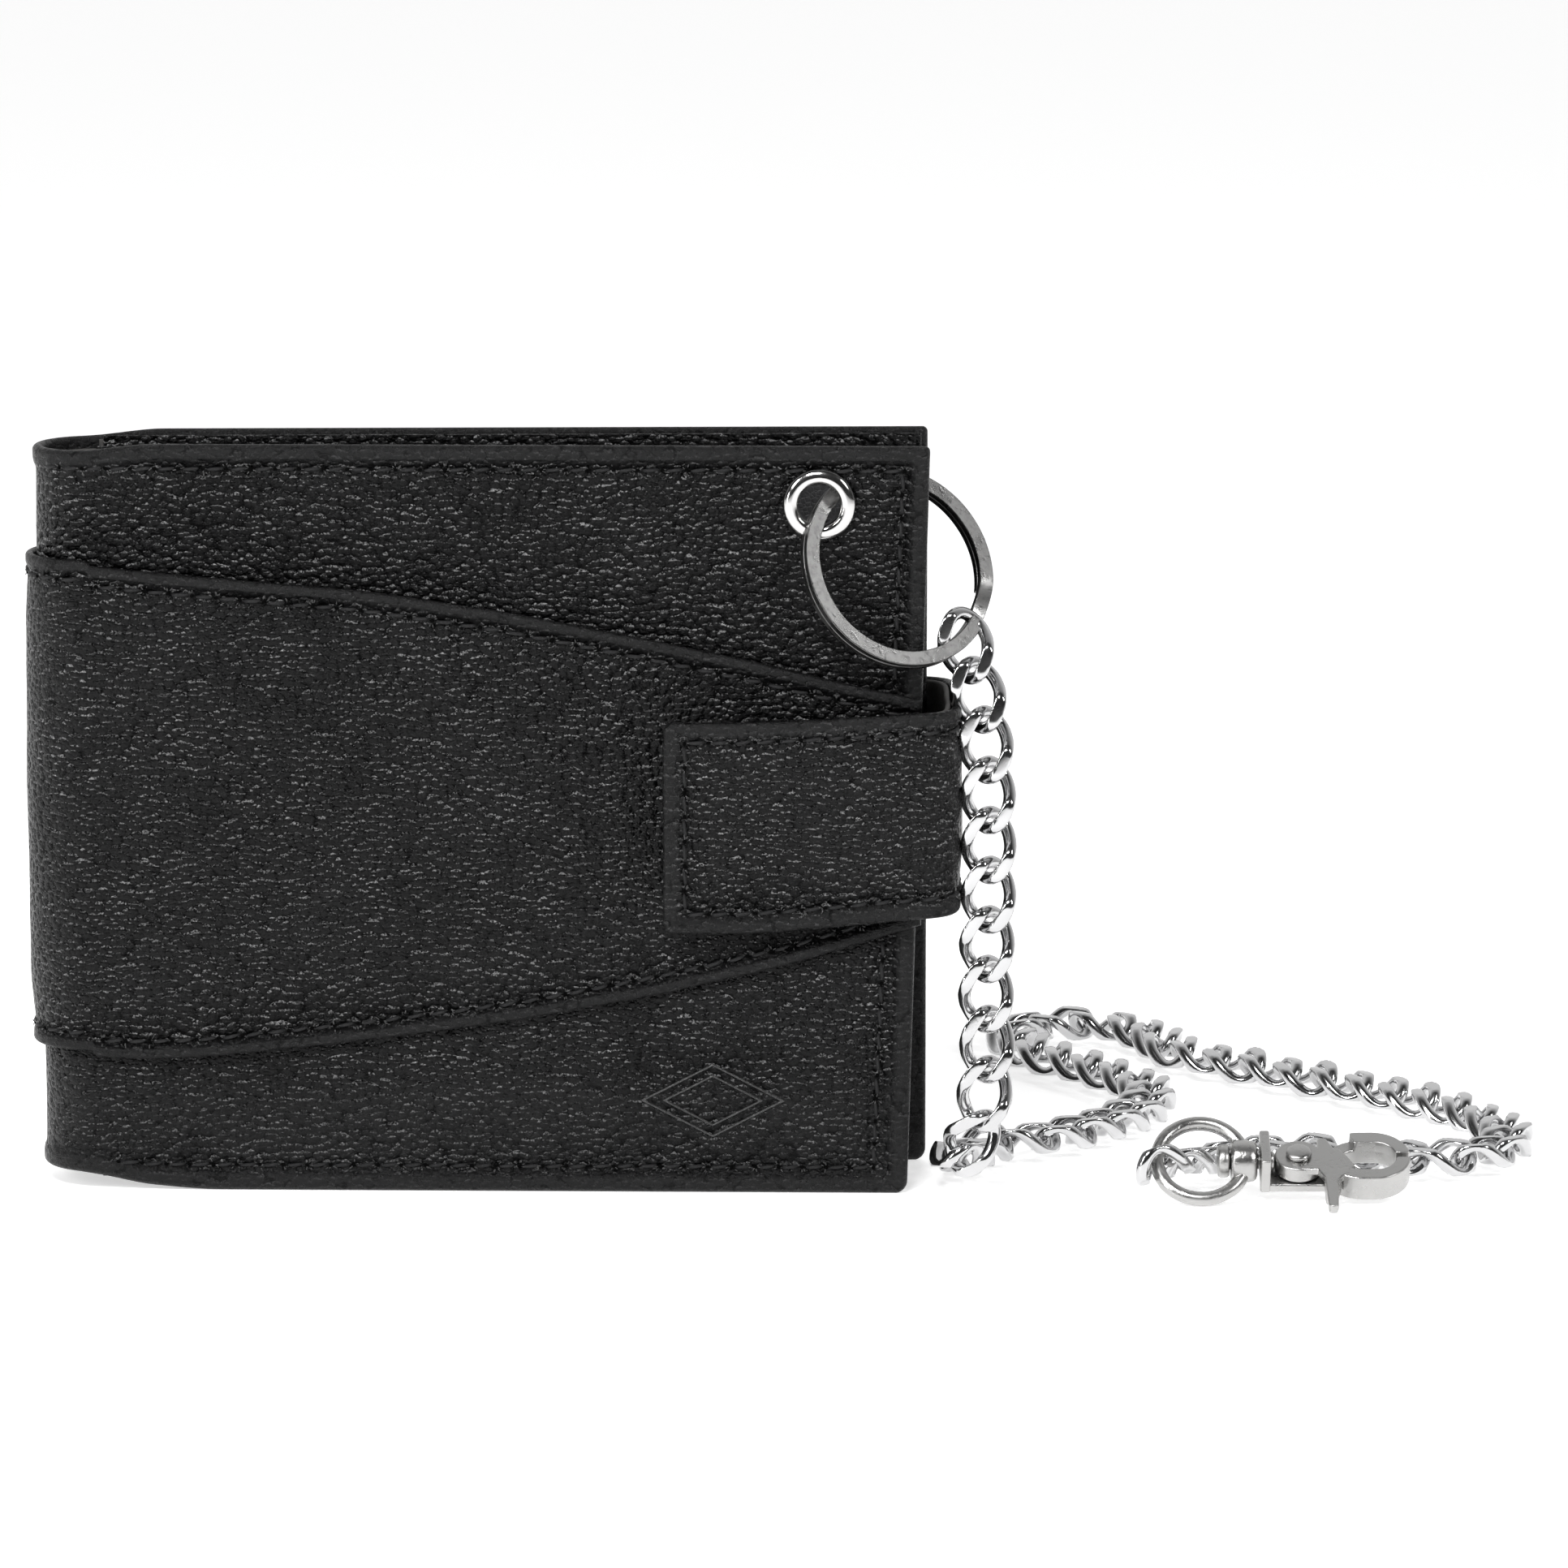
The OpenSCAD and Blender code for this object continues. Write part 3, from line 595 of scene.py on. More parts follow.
def hole_dent(S, Z, holes, depth=0.16, r=0.60, groove=0.20, groove_r=0.85):
    """How far stitch holes and the groove of their row pull the leather in at each (S, Z)."""
    kd = kdtree.KDTree(len(holes))
    for i, h in enumerate(holes):
        kd.insert((h[0], h[1], 0), i)
    kd.balance()
    out = np.zeros(S.size)
    lo, hi = holes.min(0) - 3, holes.max(0) + 3
    flatS, flatZ = S.ravel(), Z.ravel()
    near = np.flatnonzero((flatS > lo[0]) & (flatS < hi[0]) & (flatZ > lo[1]) & (flatZ < hi[1]))
    for i in near:
        _, _, dist = kd.find((flatS[i], flatZ[i], 0))
        if dist < 2.6:
            out[i] = depth * math.exp(-((dist / r) ** 2)) + groove * math.exp(-((dist / (groove_r * 1.35)) ** 2))
    return out.reshape(S.shape)


# ------------------------------------------------------------------ outer cover
SLANT = 2.7


def front_edge(z):
    """Run of the front cover's opening edge, with its rounded corners."""
    e = -(WX - SLANT * (1 - np.clip(z / H, 0, 1)))
    for z0, sgn, r in ((0, 1, 1.6), (H, -1, 0.7)):
        dz = np.clip(r - sgn * (z - z0), 0, r)
        e = e + (r - np.sqrt(np.maximum(r * r - dz * dz, 0)))
    return e


def back_edge(z):
    e = ARC + WX + 0 * z
    for z0, sgn, r in ((0, 1, 1.6), (H, -1, 0.7)):
        dz = np.clip(r - sgn * (z - z0), 0, r)
        e = e - (r - np.sqrt(np.maximum(r * r - dz * dz, 0)))
    return e


def z_low(s):
    """The lower edge lifts a little towards the spine."""
    return 1.9 * smooth(-18, -1.5, s) * (1 - smooth(ARC + 1.5, ARC + 18, s)) * 0.55 + 1.2 * smooth(-9, 2, s) * (1 - smooth(ARC - 2, ARC + 9, s))


def z_high(s):
    return H - 0.9 * smooth(-9, 2, s) * (1 - smooth(ARC - 2, ARC + 9, s))


def cover_s(U, V):
    z = V * H
    a, b = front_edge(z), back_edge(z)
    return a + U * (b - a)


total_run = ARC + 2 * WX


def cover_z(U, V):
    s = -WX + U * total_run
    a, b = z_low(s), z_high(s)
    return a + V * (b - a)


# rows of stitches on the cover, as (s, z)
front_top = lambda t: (s_of_x(t), H - 3.15)
front_right = lambda t: (front_edge(np.array(50.0)) * 0 - (WX - SLANT * (1 - t / H)) + 3.3 + 1.2 * (1 - t / H), t)
front_bottom = lambda t: (s_of_x(t), 3.4 + 0.5 * smooth(-40, -52, t))
rows = {}
rows["top"] = run_points(front_top, -57.0, XR - 3.4)
rows["right"] = run_points(front_right, H - 3.15, 3.5)
rows["bottom"] = run_points(front_bottom, XR - SLANT - 4.6, -47.5)
back_top = lambda t: (t, H - 3.15)
back_right = lambda t: (ARC + WX - 3.3, t)
back_bottom = lambda t: (t, 3.4)
rows["back_top"] = run_points(back_top, ARC + 1.0, ARC + WX - 3.3)
rows["back_right"] = run_points(back_right, H - 3.15, 3.4)
rows["back_bottom"] = run_points(back_bottom, ARC + WX - 3.3, ARC + 3.0)
cover_holes = np.concatenate([r[1] for r in rows.values()])

EYE_X, EYE_Z = 43.4, 90.0
EYE_S = -(EYE_X - XS)


def cover_relief(S, Z, d):
    """The cover's outer face: raised turned edges and small unevenness; cover_outer adds the pull of stitches."""
    o = 0.24 * lattice_noise(S, Z, 11, 14.0) + 0.07 * lattice_noise(S, Z, 12, 4.5)
    rim = 0.30 * (1 - smooth(1.9, 3.0, d))
    return o * smooth(0, 5, d) + rim


def cover_outer(S, Z, d):
    o = cover_relief(S, Z, d)
    o = o - hole_dent(S, Z, cover_holes)
    # the leather dips round the eyelet's flange
    r = np.hypot(S - EYE_S, Z - EYE_Z)
    o = o - 0.25 * np.exp(-(((r - 4.6) / 1.1) ** 2))
    return o


def cover_attrs(S, Z, d):
    g = smooth(1.7, 3.4, d)
    low = smooth(17, 12, Z) * 0.45
    return {"grain": 0.10 + 0.90 * g * (1 - low)}


us = spaced(int(total_run / 0.55), total_run)
vs = spaced(int(H / 0.55), H)
cover = slab("outer_cover", us, vs, cover_s, cover_z, COVER_T, cover_outer, LEATHER, edge_r=0.75, attrs_fun=cover_attrs)
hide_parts("front_cover", "spine_cover", "back_cover")


def eyelet_cut(ob, x, z, r):
    """Opens a round hole through a sheet by deleting the faces that have a corner inside r on the front side."""
    me = ob.data
    co = np.empty(len(me.vertices) * 3, np.float32)
    me.vertices.foreach_get("co", co)
    co = co.reshape(-1, 3)
    c = W([x, 0, z])
    rr = np.hypot(co[:, 0] - c[0], co[:, 2] - c[2])
    front = co[:, 1] < 0.0
    inside = (rr < r * 0.001) & front
    import bmesh

    bm = bmesh.new()
    bm.from_mesh(me)
    bm.verts.ensure_lookup_table()
    kill = [f for f in bm.faces if any(inside[v.index] for v in f.verts)]
    bmesh.ops.delete(bm, geom=kill, context="FACES")
    bm.to_mesh(me)
    bm.free()
    me.update()


eyelet_cut(cover, EYE_X, EYE_Z, 3.0)
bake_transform(cover)

# ------------------------------------------------------------------ overlay band
top_x = np.array([-57.6, -37.1, -14.9, 2.8, 22.5, 35.0, 46.0, 57.5])
top_z = np.array([82.7, 80.7, 78.9, 76.3, 72.5, 69.9, 67.2, 64.7])
bot_x = np.array([-57.6, -50.0, -44.4, -36.3, -17.1, 4.7, 21.9, 38.9, 57.5])
bot_z = np.array([18.6, 17.7, 17.5, 17.8, 19.9, 22.9, 26.2, 30.2, 36.0])


def smooth_curve(xs, zs):
    f = np.linspace(xs[0], xs[-1], 600)
    z = np.interp(f, xs, zs)
    k = np.hanning(61)
    k /= k.sum()
    pad = np.concatenate([z[0] - (z[1:31][::-1] - z[0]), z, z[-1] - (z[-31:-1][::-1] - z[-1])])
    return f, np.convolve(pad, k, "valid")


TX, TZ = smooth_curve(top_x, top_z)
BX, BZ = smooth_curve(bot_x, bot_z)


def band_x(s):
    """x on the front for a run s; the back mirrors the front."""
    s = np.asarray(s, float)
    f = XS - s - 0.16
    r = XS + (s - ARC) - 0.16
    return np.where(s < 0, f, np.where(s > ARC, r, -57.6))


def band_top(s):
    return np.interp(band_x(s), TX, TZ)


def band_bot(s):
    return np.interp(band_x(s), BX, BZ)


BAND_T = 1.1


def band_s(U, V):
    a, b = -(WX - 1.0), ARC + WX - 1.0
    return a + U * (b - a) + 0 * V


def band_z(U, V):
    s = band_s(U, V)
    a, b = band_bot(s), band_top(s)
    return a + V * (b - a)


def band_row(off, top=True):
    def f(t):
        z = (band_top(t) - off) if top else (band_bot(t) + off)
        return (t, float(z))

    return f


band_rows = {
    "ft": run_points(band_row(2.55), -(WX - 3.0), -1.0),
    "fb": run_points(band_row(2.4, False), -(WX - 3.0), -1.0),
    "bt": run_points(band_row(2.55), ARC + 1.0, ARC + WX - 3.0),
    "bb": run_points(band_row(2.4, False), ARC + 1.0, ARC + WX - 3.0),
    "st": run_points(band_row(2.55), 0.6, ARC - 0.6),
    "sb": run_points(band_row(2.4, False), 0.6, ARC - 0.6),
}
band_holes = np.concatenate([r[1] for r in band_rows.values()])


def band_relief(S, Z, d):
    o = 0.16 * lattice_noise(S, Z, 21, 12.0) + 0.06 * lattice_noise(S, Z, 22, 4.0)
    dz = np.minimum(np.abs(Z - band_bot(S)), np.abs(Z - band_top(S)))
    rim = 0.22 * (1 - smooth(1.3, 2.2, dz))
    return BAND_T + 0.10 + o * smooth(0, 4, d) + rim + 0.35 * smooth(2.6, 9, dz)


def band_outer(S, Z, d):
    return band_relief(S, Z, d) - hole_dent(S, Z, band_holes)


def band_attrs(S, Z, d):
    dz = np.minimum(np.abs(Z - band_bot(S)), np.abs(Z - band_top(S)))
    return {"grain": 0.10 + 0.90 * smooth(1.1, 2.6, dz)}


us = spaced(int(total_run / 0.55), total_run)
vs = spaced(int(64 / 0.55), 64)
band = slab("overlay_band", us, vs, band_s, band_z, BAND_T, band_outer, LEATHER, edge_r=0.5, attrs_fun=band_attrs)
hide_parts("front_band", "spine_band", "back_band")
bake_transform(band)

# stitches of the front and of the back, each on its own body
cover_face = lambda s, z: -0.08 + 0.24 * lattice_noise(s, z, 11, 14.0) + 0.07 * lattice_noise(s, z, 12, 4.5)
band_face = lambda s, z: BAND_T + 0.03 + 0.16 * lattice_noise(s, z, 21, 12.0) + 0.06 * lattice_noise(s, z, 22, 4.0)
hide = lambda m, lo, hi: m[(m[:, 1] < lo) | (m[:, 1] > hi)]


def uncovered(m):
    """Stitches of the cover that the band doesn't hide."""
    return m[(m[:, 1] < band_bot(m[:, 0]) - 0.6) | (m[:, 1] > band_top(m[:, 0]) + 0.6)]


placed = []
for k in ("top", "right", "bottom"):
    m_ = uncovered(rows[k][0])
    placed += place_row(m_[m_[:, 0] < -0.8], cover_face)
for k in ("ft", "fb"):
    placed += place_row(band_rows[k][0], band_face)
st_front = stitches("stitches_front", placed)
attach(st_front, "front_half")
placed = []
for k in ("back_top", "back_right", "back_bottom"):
    placed += place_row(uncovered(rows[k][0]), cover_face)
for k in ("bt", "bb"):
    placed += place_row(band_rows[k][0], band_face)
st_back = stitches("stitches_back", placed)
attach(st_back, "back_half")
placed = []
m_ = rows["top"][0]
placed += place_row(m_[m_[:, 0] >= -0.8], cover_face)
for k in ("st", "sb"):
    placed += place_row(band_rows[k][0], band_face)
st_spine = stitches("stitches_spine", placed)
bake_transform(st_spine)

# ------------------------------------------------------------------ panels inside each half
INNER0, POCKET_T, GAP, LIN_T = 0.35, 0.7, 0.5, 0.6
STEP = POCKET_T + GAP
Y_WALL = INNER0 + 3 * STEP
WALL_T = 0.7
Y_LIN = R0 - COVER_T - LIN_T
RING_C = np.array([53.2, -7.26, 81.54])
RING_SLOPE = 0.55


def half_point(side):
    """Layout point of (a, z, depth) in one half: a is the distance from the fold's axis, depth is outward."""

    def f(S, Z, off):
        ca, sa = math.cos(TILT), math.sin(TILT)
        x = XS + S * ca - off * sa
        y = -(S * sa + off * ca)
        if side > 0:
            y = -y
        return np.stack([x, y, Z], -1)

    return f


def panel(name, side, a0, a1, z0, z1, depth, t, mat, node, seam=None, edge=0.3, corner=1.5):
    def sf(U, V):
        z = z0 + V * (z1 - z0)
        b = a1 + 0 * z
        for zz, sgn, r in ((z0, 1, corner), (z1, -1, corner)):
            dz = np.clip(r - sgn * (z - zz), 0, r)
            b = b - (r - np.sqrt(np.maximum(r * r - dz * dz, 0)))
        return a0 + U * (b - a0)

    zf = lambda U, V: z0 + V * (z1 - z0)
    holes = None
    if seam:
        holes = np.concatenate([s[1] for s in seam])

    def outer(S, Z, d):
        o = depth + t + 0.05 * lattice_noise(S, Z, int(depth * 10) + 31, 9.0) * smooth(0, 4, d)
        return o

    ob = slab(
        name,
        spaced(int((a1 - a0) / 1.3), a1 - a0, (0, 0.05, 0.15, 0.3, 0.6, 1.2)),
        spaced(int((z1 - z0) / 1.3), z1 - z0, (0, 0.05, 0.15, 0.3, 0.6, 1.2)),
        sf,
        zf,
        t,
        outer,
        mat,
        edge_r=min(edge, t / 2),
        point=half_point(side),
        flip=side < 0,
    )
    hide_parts(node)
    return ob


def seam_on_half(side, fn, a, b, depth, pitch=2.9):
    """Stitches on the inner face of a panel, at that depth."""
    mids, _ = run_points(fn, a, b, pitch)
    pt = half_point(side)
    P = pt(mids[:, 0], mids[:, 1], np.full(len(mids), depth))
    T = np.gradient(P, axis=0)
    n = np.array([0.0, 1.0 if side < 0 else -1.0, 0.0])
    return [(P[i], T[i], n) for i in range(len(P))]


for side, tag, body in ((-1, "front", "front_half"), (1, "back", "back_half")):
    lin = panel(f"{tag}_lining_panel", side, 0.4, WX - 3.6, 1.4, H - 1.2, Y_LIN, LIN_T, LINING, f"{tag}_lining")
    if side < 0:
        eyelet_cut(lin, EYE_X, EYE_Z, 4.3)
    wall_top = H - (9.8 if side < 0 else 4.8)
    wall = panel(f"{tag}_note_wall", side, 1.5, WX - 3.2, 1.2, wall_top, Y_WALL, WALL_T + 0.05, POCKET, f"{tag}_inner_wall")
    hi_ = panel(f"{tag}_pocket_high", side, 3.0, WX - 4.6, 1.2, 76, INNER0 + 2 * STEP, POCKET_T + GAP * 0.5, POCKET, f"{tag}_card_pocket_high")
    mi_ = panel(f"{tag}_pocket_mid", side, 3.0, WX - 4.6, 1.2, 64, INNER0 + STEP, POCKET_T + GAP * 0.5, POCKET, f"{tag}_card_pocket_mid")
    lo_ = panel(f"{tag}_pocket_low", side, 3.0, WX - 4.6, 1.2, 52, INNER0, POCKET_T + GAP * 0.5, POCKET, f"{tag}_card_pocket_low")
    hem = slab(
        f"{tag}_turned_hem",
        spaced(140, WX - 1.6, (0, 0.1, 0.3, 0.8)),
        spaced(22, 10.2, (0, 0.05, 0.15, 0.35, 0.8)),
        lambda U, V: 1.0 + U * (WX - 1.9),
        lambda U, V: H - 10.9 + V * 10.3 + 0.25 * np.sin(U * 31.0) * (1 - V),
        0.55,
        lambda S, Z, d: 5.32 + 0.14 * lattice_noise(S, Z, 71, 3.0) + 0 * S,
        LEATHER,
        edge_r=0.27,
        point=half_point(side),
        attrs_fun=lambda S, Z, d: {"grain": 0 * S + 0.9},
        flip=side < 0,
    )
    if side < 0:
        eyelet_cut(hem, EYE_X, EYE_Z, 5.2)
    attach(hem, body)
    for o, sl in ((lin, "lining_leather"), (wall, "pocket_leather"), (hi_, "pocket_leather"), (mi_, "pocket_leather"), (lo_, "pocket_leather")):
        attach(o, body)
    pl = []
    pl += seam_on_half(side, lambda t: (t, 3.2), 4.6, WX - 6.4, INNER0 - 0.06)
    for a in (4.6, WX - 6.4):
        pl += seam_on_half(side, lambda t, a=a: (a, t), 4.4, 50.5, INNER0 - 0.06)
        pl += seam_on_half(side, lambda t, a=a: (a, t), 53.5, 62.6, INNER0 + STEP - 0.06)
        pl += seam_on_half(side, lambda t, a=a: (a, t), 65.5, 74.6, INNER0 + 2 * STEP - 0.06)
        pl += seam_on_half(side, lambda t, a=a: (a, t), 77.5, wall_top - 2.7, Y_WALL - 0.06)
    for z, dep in ((50.2, INNER0), (62.2, INNER0 + STEP), (74.2, INNER0 + 2 * STEP), (wall_top - 2.0, Y_WALL)):
        pl += seam_on_half(side, lambda t, z=z: (t, z), 7.0, WX - 9.0, dep - 0.06)
    # the cover's own top row shows through on the hem
    top_in = seam_on_half(side, lambda t: (t, H - 3.15), 3.0, WX - 4.0, 4.74, 3.05)
    pl += [q for q in top_in if side > 0 or abs(q[0][0] - EYE_X) > 5.5]
    so = stitches(f"{tag}_pocket_stitches", pl, slant=4.0, scale=0.82)
    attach(so, body)

# lining of the fold
us = spaced(40, ARC, (0, 0.1, 0.3, 0.8))
vs = spaced(60, H, (0, 0.1, 0.3, 0.8))
sl = slab("spine_lining_panel", us, vs, lambda U, V: U * ARC + 0 * V, lambda U, V: 2.2 + V * (H - 4.6) + 0 * U, LIN_T, lambda S, Z, d: -COVER_T - 0.02 + 0 * S, LINING, edge_r=0.2)
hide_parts("spine_lining")
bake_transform(sl)

# ------------------------------------------------------------------ pressed ornament: a plain lozenge
loz = []
cx, cz, hw, hh = 29.5, 12.2, 10.0, 5.2
u = np.linspace(0, 1, 4, endpoint=False)
corners = [(hw, 0), (0, hh), (-hw, 0), (0, -hh)]
ring_pts = []
for k in range(4):
    (ax_, az_), (bx_, bz_) = corners[k], corners[(k + 1) % 4]
    for t in np.linspace(0, 1, 18, endpoint=False):
        ring_pts.append((ax_ + (bx_ - ax_) * t, az_ + (bz_ - az_) * t))
ring_pts = np.array(ring_pts)
parts = []
for k_in, k_out in ((0.58, 0.67), (0.86, 0.95)):
    prof = []
    for q, hgt in ((k_in, -0.1), (k_in + 0.015, 0.14), (k_in + 0.03, 0.24), ((k_in + k_out) / 2, 0.28), (k_out - 0.03, 0.24), (k_out - 0.015, 0.14), (k_out, -0.1)):
        sz = np.stack([s_of_x(cx + ring_pts[:, 0] * q), cz + ring_pts[:, 1] * q], -1)
        P_, N_ = on_path(sz, cover_face(sz[:, 0], sz[:, 1]) + hgt)
        prof.append(P_)
    co = np.stack(prof, 0).reshape(-1, 3)
    parts.append((co, [grid_quads(len(prof), len(ring_pts), wrap_v=True)]))
co, faces = merge(parts)
# painted highlight: the ridges take the lighter puckered leather
orn = new_object("pressed_ornament", co, faces, PUCKER_HIGHLIGHT_MAT)
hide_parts("front_ornament")
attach(orn, "front_half")

# ------------------------------------------------------------------ closing strap
SZ, SH = 35.8, 27.0


def strap_line():
    """Middle line (x, y) of the strap from its sewn end on the back, round the opening edge, to the tab's end on the front."""
    pts = np.array([
        (30.0, 12.1), (36, 12.3), (42, 12.45), (48, 12.6), (53.5, 12.7), (57.0, 12.5), (59.2, 11.2), (60.2, 8.6), (60.35, 4.5), (60.3, 0.0),
        (60.3, -4.5), (60.25, -8.2), (59.9, -10.8), (58.9, -12.3), (57.0, -12.95), (53.5, -12.95), (48, -12.85), (42, -12.75), (36, -12.65), (30, -12.6), (23.2, -12.55),
    ])
    Q = np.vstack([2 * pts[0] - pts[1], pts, 2 * pts[-1] - pts[-2]])
    out = []
    for i in range(1, len(Q) - 2):
        for t in np.linspace(0, 1, 14, endpoint=False):
            a, b, c, d = Q[i - 1], Q[i], Q[i + 1], Q[i + 2]
            out.append(0.5 * (2 * b + (c - a) * t + (2 * a - 5 * b + 4 * c - d) * t * t + (3 * b - a - 3 * c + d) * t**3))
    out.append(pts[-1])
    return np.array(out)


SL = strap_line()
SLEN = np.concatenate([[0], np.cumsum(np.linalg.norm(np.diff(SL, axis=0), axis=1))])
STOT = SLEN[-1]
ST = np.gradient(SL, SLEN, axis=0)
ST /= np.linalg.norm(ST, axis=1)[:, None]
SN = np.stack([-ST[:, 1], ST[:, 0]], -1)  # outward: to +Y on the back, +X at the side, -Y on the front
if SN[5, 1] < 0:
    SN = -SN
S_FRONT = STOT - 36.0  # where the tab leaves the bend


def strap_pt(S, Z, off):
    x = np.interp(S, SLEN, SL[:, 0]) + np.interp(S, SLEN, SN[:, 0]) * off
    y = np.interp(S, SLEN, SL[:, 1]) + np.interp(S, SLEN, SN[:, 1]) * off
    return np.stack([x, y, Z], -1)


def strap_zb(s):
    """Lower and upper edge: both drop a little along the tab on the front, the lower one more."""
    u = smooth(S_FRONT - 6, S_FRONT + 30, s)
    return SZ + 1.6 - 2.4 * u * 1.0 - 0.0, SZ + SH + 1.2 - 1.5 * u


def strap_sf(U, V):
    a, b = 0.0, STOT
    e = b + 0 * V
    for z0, sgn, r in ((0.0, 1, 1.6), (1.0, -1, 1.6)):
        dz = np.clip(r - sgn * (V - z0) * SH, 0, r)
        e = e - (r - np.sqrt(np.maximum(r * r - dz * dz, 0)))
    return a + U * (e - a)


def strap_zf(U, V):
    s = U * STOT
    lo, hi = strap_zb(s)
    return lo + V * (hi - lo)


tab_top = lambda t: (t, float(strap_zb(t)[1]) - 2.6)
tab_bot = lambda t: (t, float(strap_zb(t)[0]) + 2.6)
tab_end = lambda t: (STOT - 2.8, t)
strap_rows = [
    run_points(tab_top, STOT - 2.8, 30.0),
    run_points(tab_bot, STOT - 2.8, 30.0),
    run_points(tab_end, float(strap_zb(STOT)[0]) + 2.6, float(strap_zb(STOT)[1]) - 2.6),
    run_points(tab_top, 3.0, 27.0),
    run_points(tab_bot, 3.0, 27.0),
    run_points(lambda t: (3.0, t), float(strap_zb(0)[0]) + 2.6, float(strap_zb(0)[1]) - 2.6),
]
strap_holes = np.concatenate([r[1] for r in strap_rows])


def strap_outer(S, Z, d):
    o = 1.02 + 0.10 * lattice_noise(S, Z, 41, 8.0) * smooth(0, 3, d) + 0.20 * (1 - smooth(1.3, 2.2, d)) + 0.25 * smooth(2.8, 8, d)
    return o - hole_dent(S, Z, strap_holes, depth=0.32, groove=0.15)


us = spaced(int(STOT / 0.5), STOT)
vs = spaced(int(SH / 0.5), SH)
strap = slab("closing_strap_leather", us, vs, strap_sf, strap_zf, 1.25, strap_outer, LEATHER_FINE, edge_r=0.5, point=strap_pt, attrs_fun=lambda S, Z, d: {"grain": 0.15 + 0.85 * smooth(1.2, 2.8, d)}, flip=True)
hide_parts("strap_anchor", "strap_tab")
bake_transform(strap)
inner = slab("closing_strap_lining", spaced(int(STOT / 1.0), STOT), spaced(int(SH / 1.0), SH), lambda U, V: 0.8 + (strap_sf(U, V) - 0.0) * (STOT - 1.6) / STOT, lambda U, V: strap_zf(U, V) * 0.985 + 0.74, 0.7, lambda S, Z, d: -0.24 + 0 * S, LINING, edge_r=0.3, point=strap_pt, flip=True)
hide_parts("strap_tab_lining")
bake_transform(inner)


def strap_place(mids):
    P = strap_pt(mids[:, 0], mids[:, 1], 1.03 + 0.10 * lattice_noise(mids[:, 0], mids[:, 1], 41, 8.0))
    T = np.gradient(P, axis=0)
    nx, ny = np.interp(mids[:, 0], SLEN, SN[:, 0]), np.interp(mids[:, 0], SLEN, SN[:, 1])
    return [(P[i], T[i], (nx[i], ny[i], 0.0)) for i in range(len(P))]


pl = []
for r in strap_rows:
    pl += strap_place(r[0])
so = stitches("closing_strap_stitches", pl)
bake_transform(so)

# ------------------------------------------------------------------ snap
prof = [(0.0, 0.0), (3.9, 0.0), (4.3, 0.1), (4.4, 0.25), (4.3, 0.4), (0.0, 0.42)]
co, faces = lathe(prof, 48)
cap = new_object("snap_cap_disc", np.stack([30.0 + co[:, 0], -12.92 + co[:, 2], 49.3 + co[:, 1]], -1), faces, NICKEL)
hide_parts("snap_socket_cap")
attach(cap, "closing_strap")
for n in ("snap_stud", "snap_stud_base", "snap_socket"):
    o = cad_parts[n]
    o.data.materials.clear()
    o.data.materials.append(NICKEL)

# ------------------------------------------------------------------ eyelet
ca, sa = math.cos(TILT), math.sin(TILT)


def eyelet_frame(co):
    """(x, y, h) turned about h: h is outward from the front cover."""
    a = EYE_X - XS
    lx, lz, dep = a + co[:, 0], EYE_Z + co[:, 1], co[:, 2]
    return np.stack([XS + lx * ca - dep * sa, -(lx * sa + dep * ca), lz], -1)


prof = [(2.72, Y_LIN - 0.45), (2.70, 7.2), (2.74, 7.75), (2.92, 8.10), (3.25, 8.28), (3.7, 8.26), (4.15, 8.10), (4.48, 7.88), (4.62, 7.66), (4.60, 7.48), (4.4, 7.40), (3.3, 7.4), (3.15, 7.3), (3.15, Y_LIN - 0.45), (2.72, Y_LIN - 0.45)]
co, faces = lathe(prof, 96)
eye = new_object("eyelet", eyelet_frame(co), [f[:, ::-1] for f in faces], NICKEL)
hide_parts("eyelet_flange")
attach(eye, "front_half")
prof = [(3.2, 4.9), (4.5, 4.9), (4.9, 5.0), (5.0, 5.2), (4.9, 5.38), (3.2, 5.4), (3.2, 4.9)]
co, faces = lathe(prof, 64)
wsh = new_object("eyelet_back_washer", eyelet_frame(co), [f[:, ::-1] for f in faces], NICKEL)
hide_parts("eyelet_washer")
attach(wsh, "front_half")

# ------------------------------------------------------------------ split ring: two coils of flat wire
g = np.array([RING_SLOPE, -1.0, RING_SLOPE])
g /= np.linalg.norm(g)
e1 = np.array([1.0, RING_SLOPE, 0.0])
e1 /= np.linalg.norm(e1)
e2 = np.cross(g, e1)
if e2[2] < 0:
    e2 = -e2
gap_a = math.radians(-20)  # where the rear coil starts
turns = np.linspace(0, 4 * np.pi - math.radians(20), 420)
ang = gap_a + turns
cross = smooth(2 * np.pi - math.radians(17), 2 * np.pi + math.radians(9), turns)
rise = -0.50 + 1.00 * cross
RR = 12.4
P = RING_C + RR * (np.cos(ang)[:, None] * e1 + np.sin(ang)[:, None] * e2) + rise[:, None] * g
frames = [(np.cos(a) * e1 + np.sin(a) * e2, g) for a in ang]
w2, t2, c = 0.95, 0.46, 0.12
profile = [(-w2 + c, -t2), (w2 - c, -t2), (w2 - c * 0.3, -t2 + c * 0.3), (w2, -t2 + c), (w2, t2 - c), (w2 - c * 0.3, t2 - c * 0.3), (w2 - c, t2), (-w2 + c, t2), (-w2 + c * 0.3, t2 - c * 0.3), (-w2, t2 - c), (-w2, -t2 + c), (-w2 + c * 0.3, -t2 + c * 0.3)]
co, faces = sweep(P, frames, profile)
ring = new_object("split_ring_coils", co, faces, ANTIQUE)
ring.data.set_sharp_from_angle(angle=math.radians(14))
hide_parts("split_ring")
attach(ring, "split_ring")

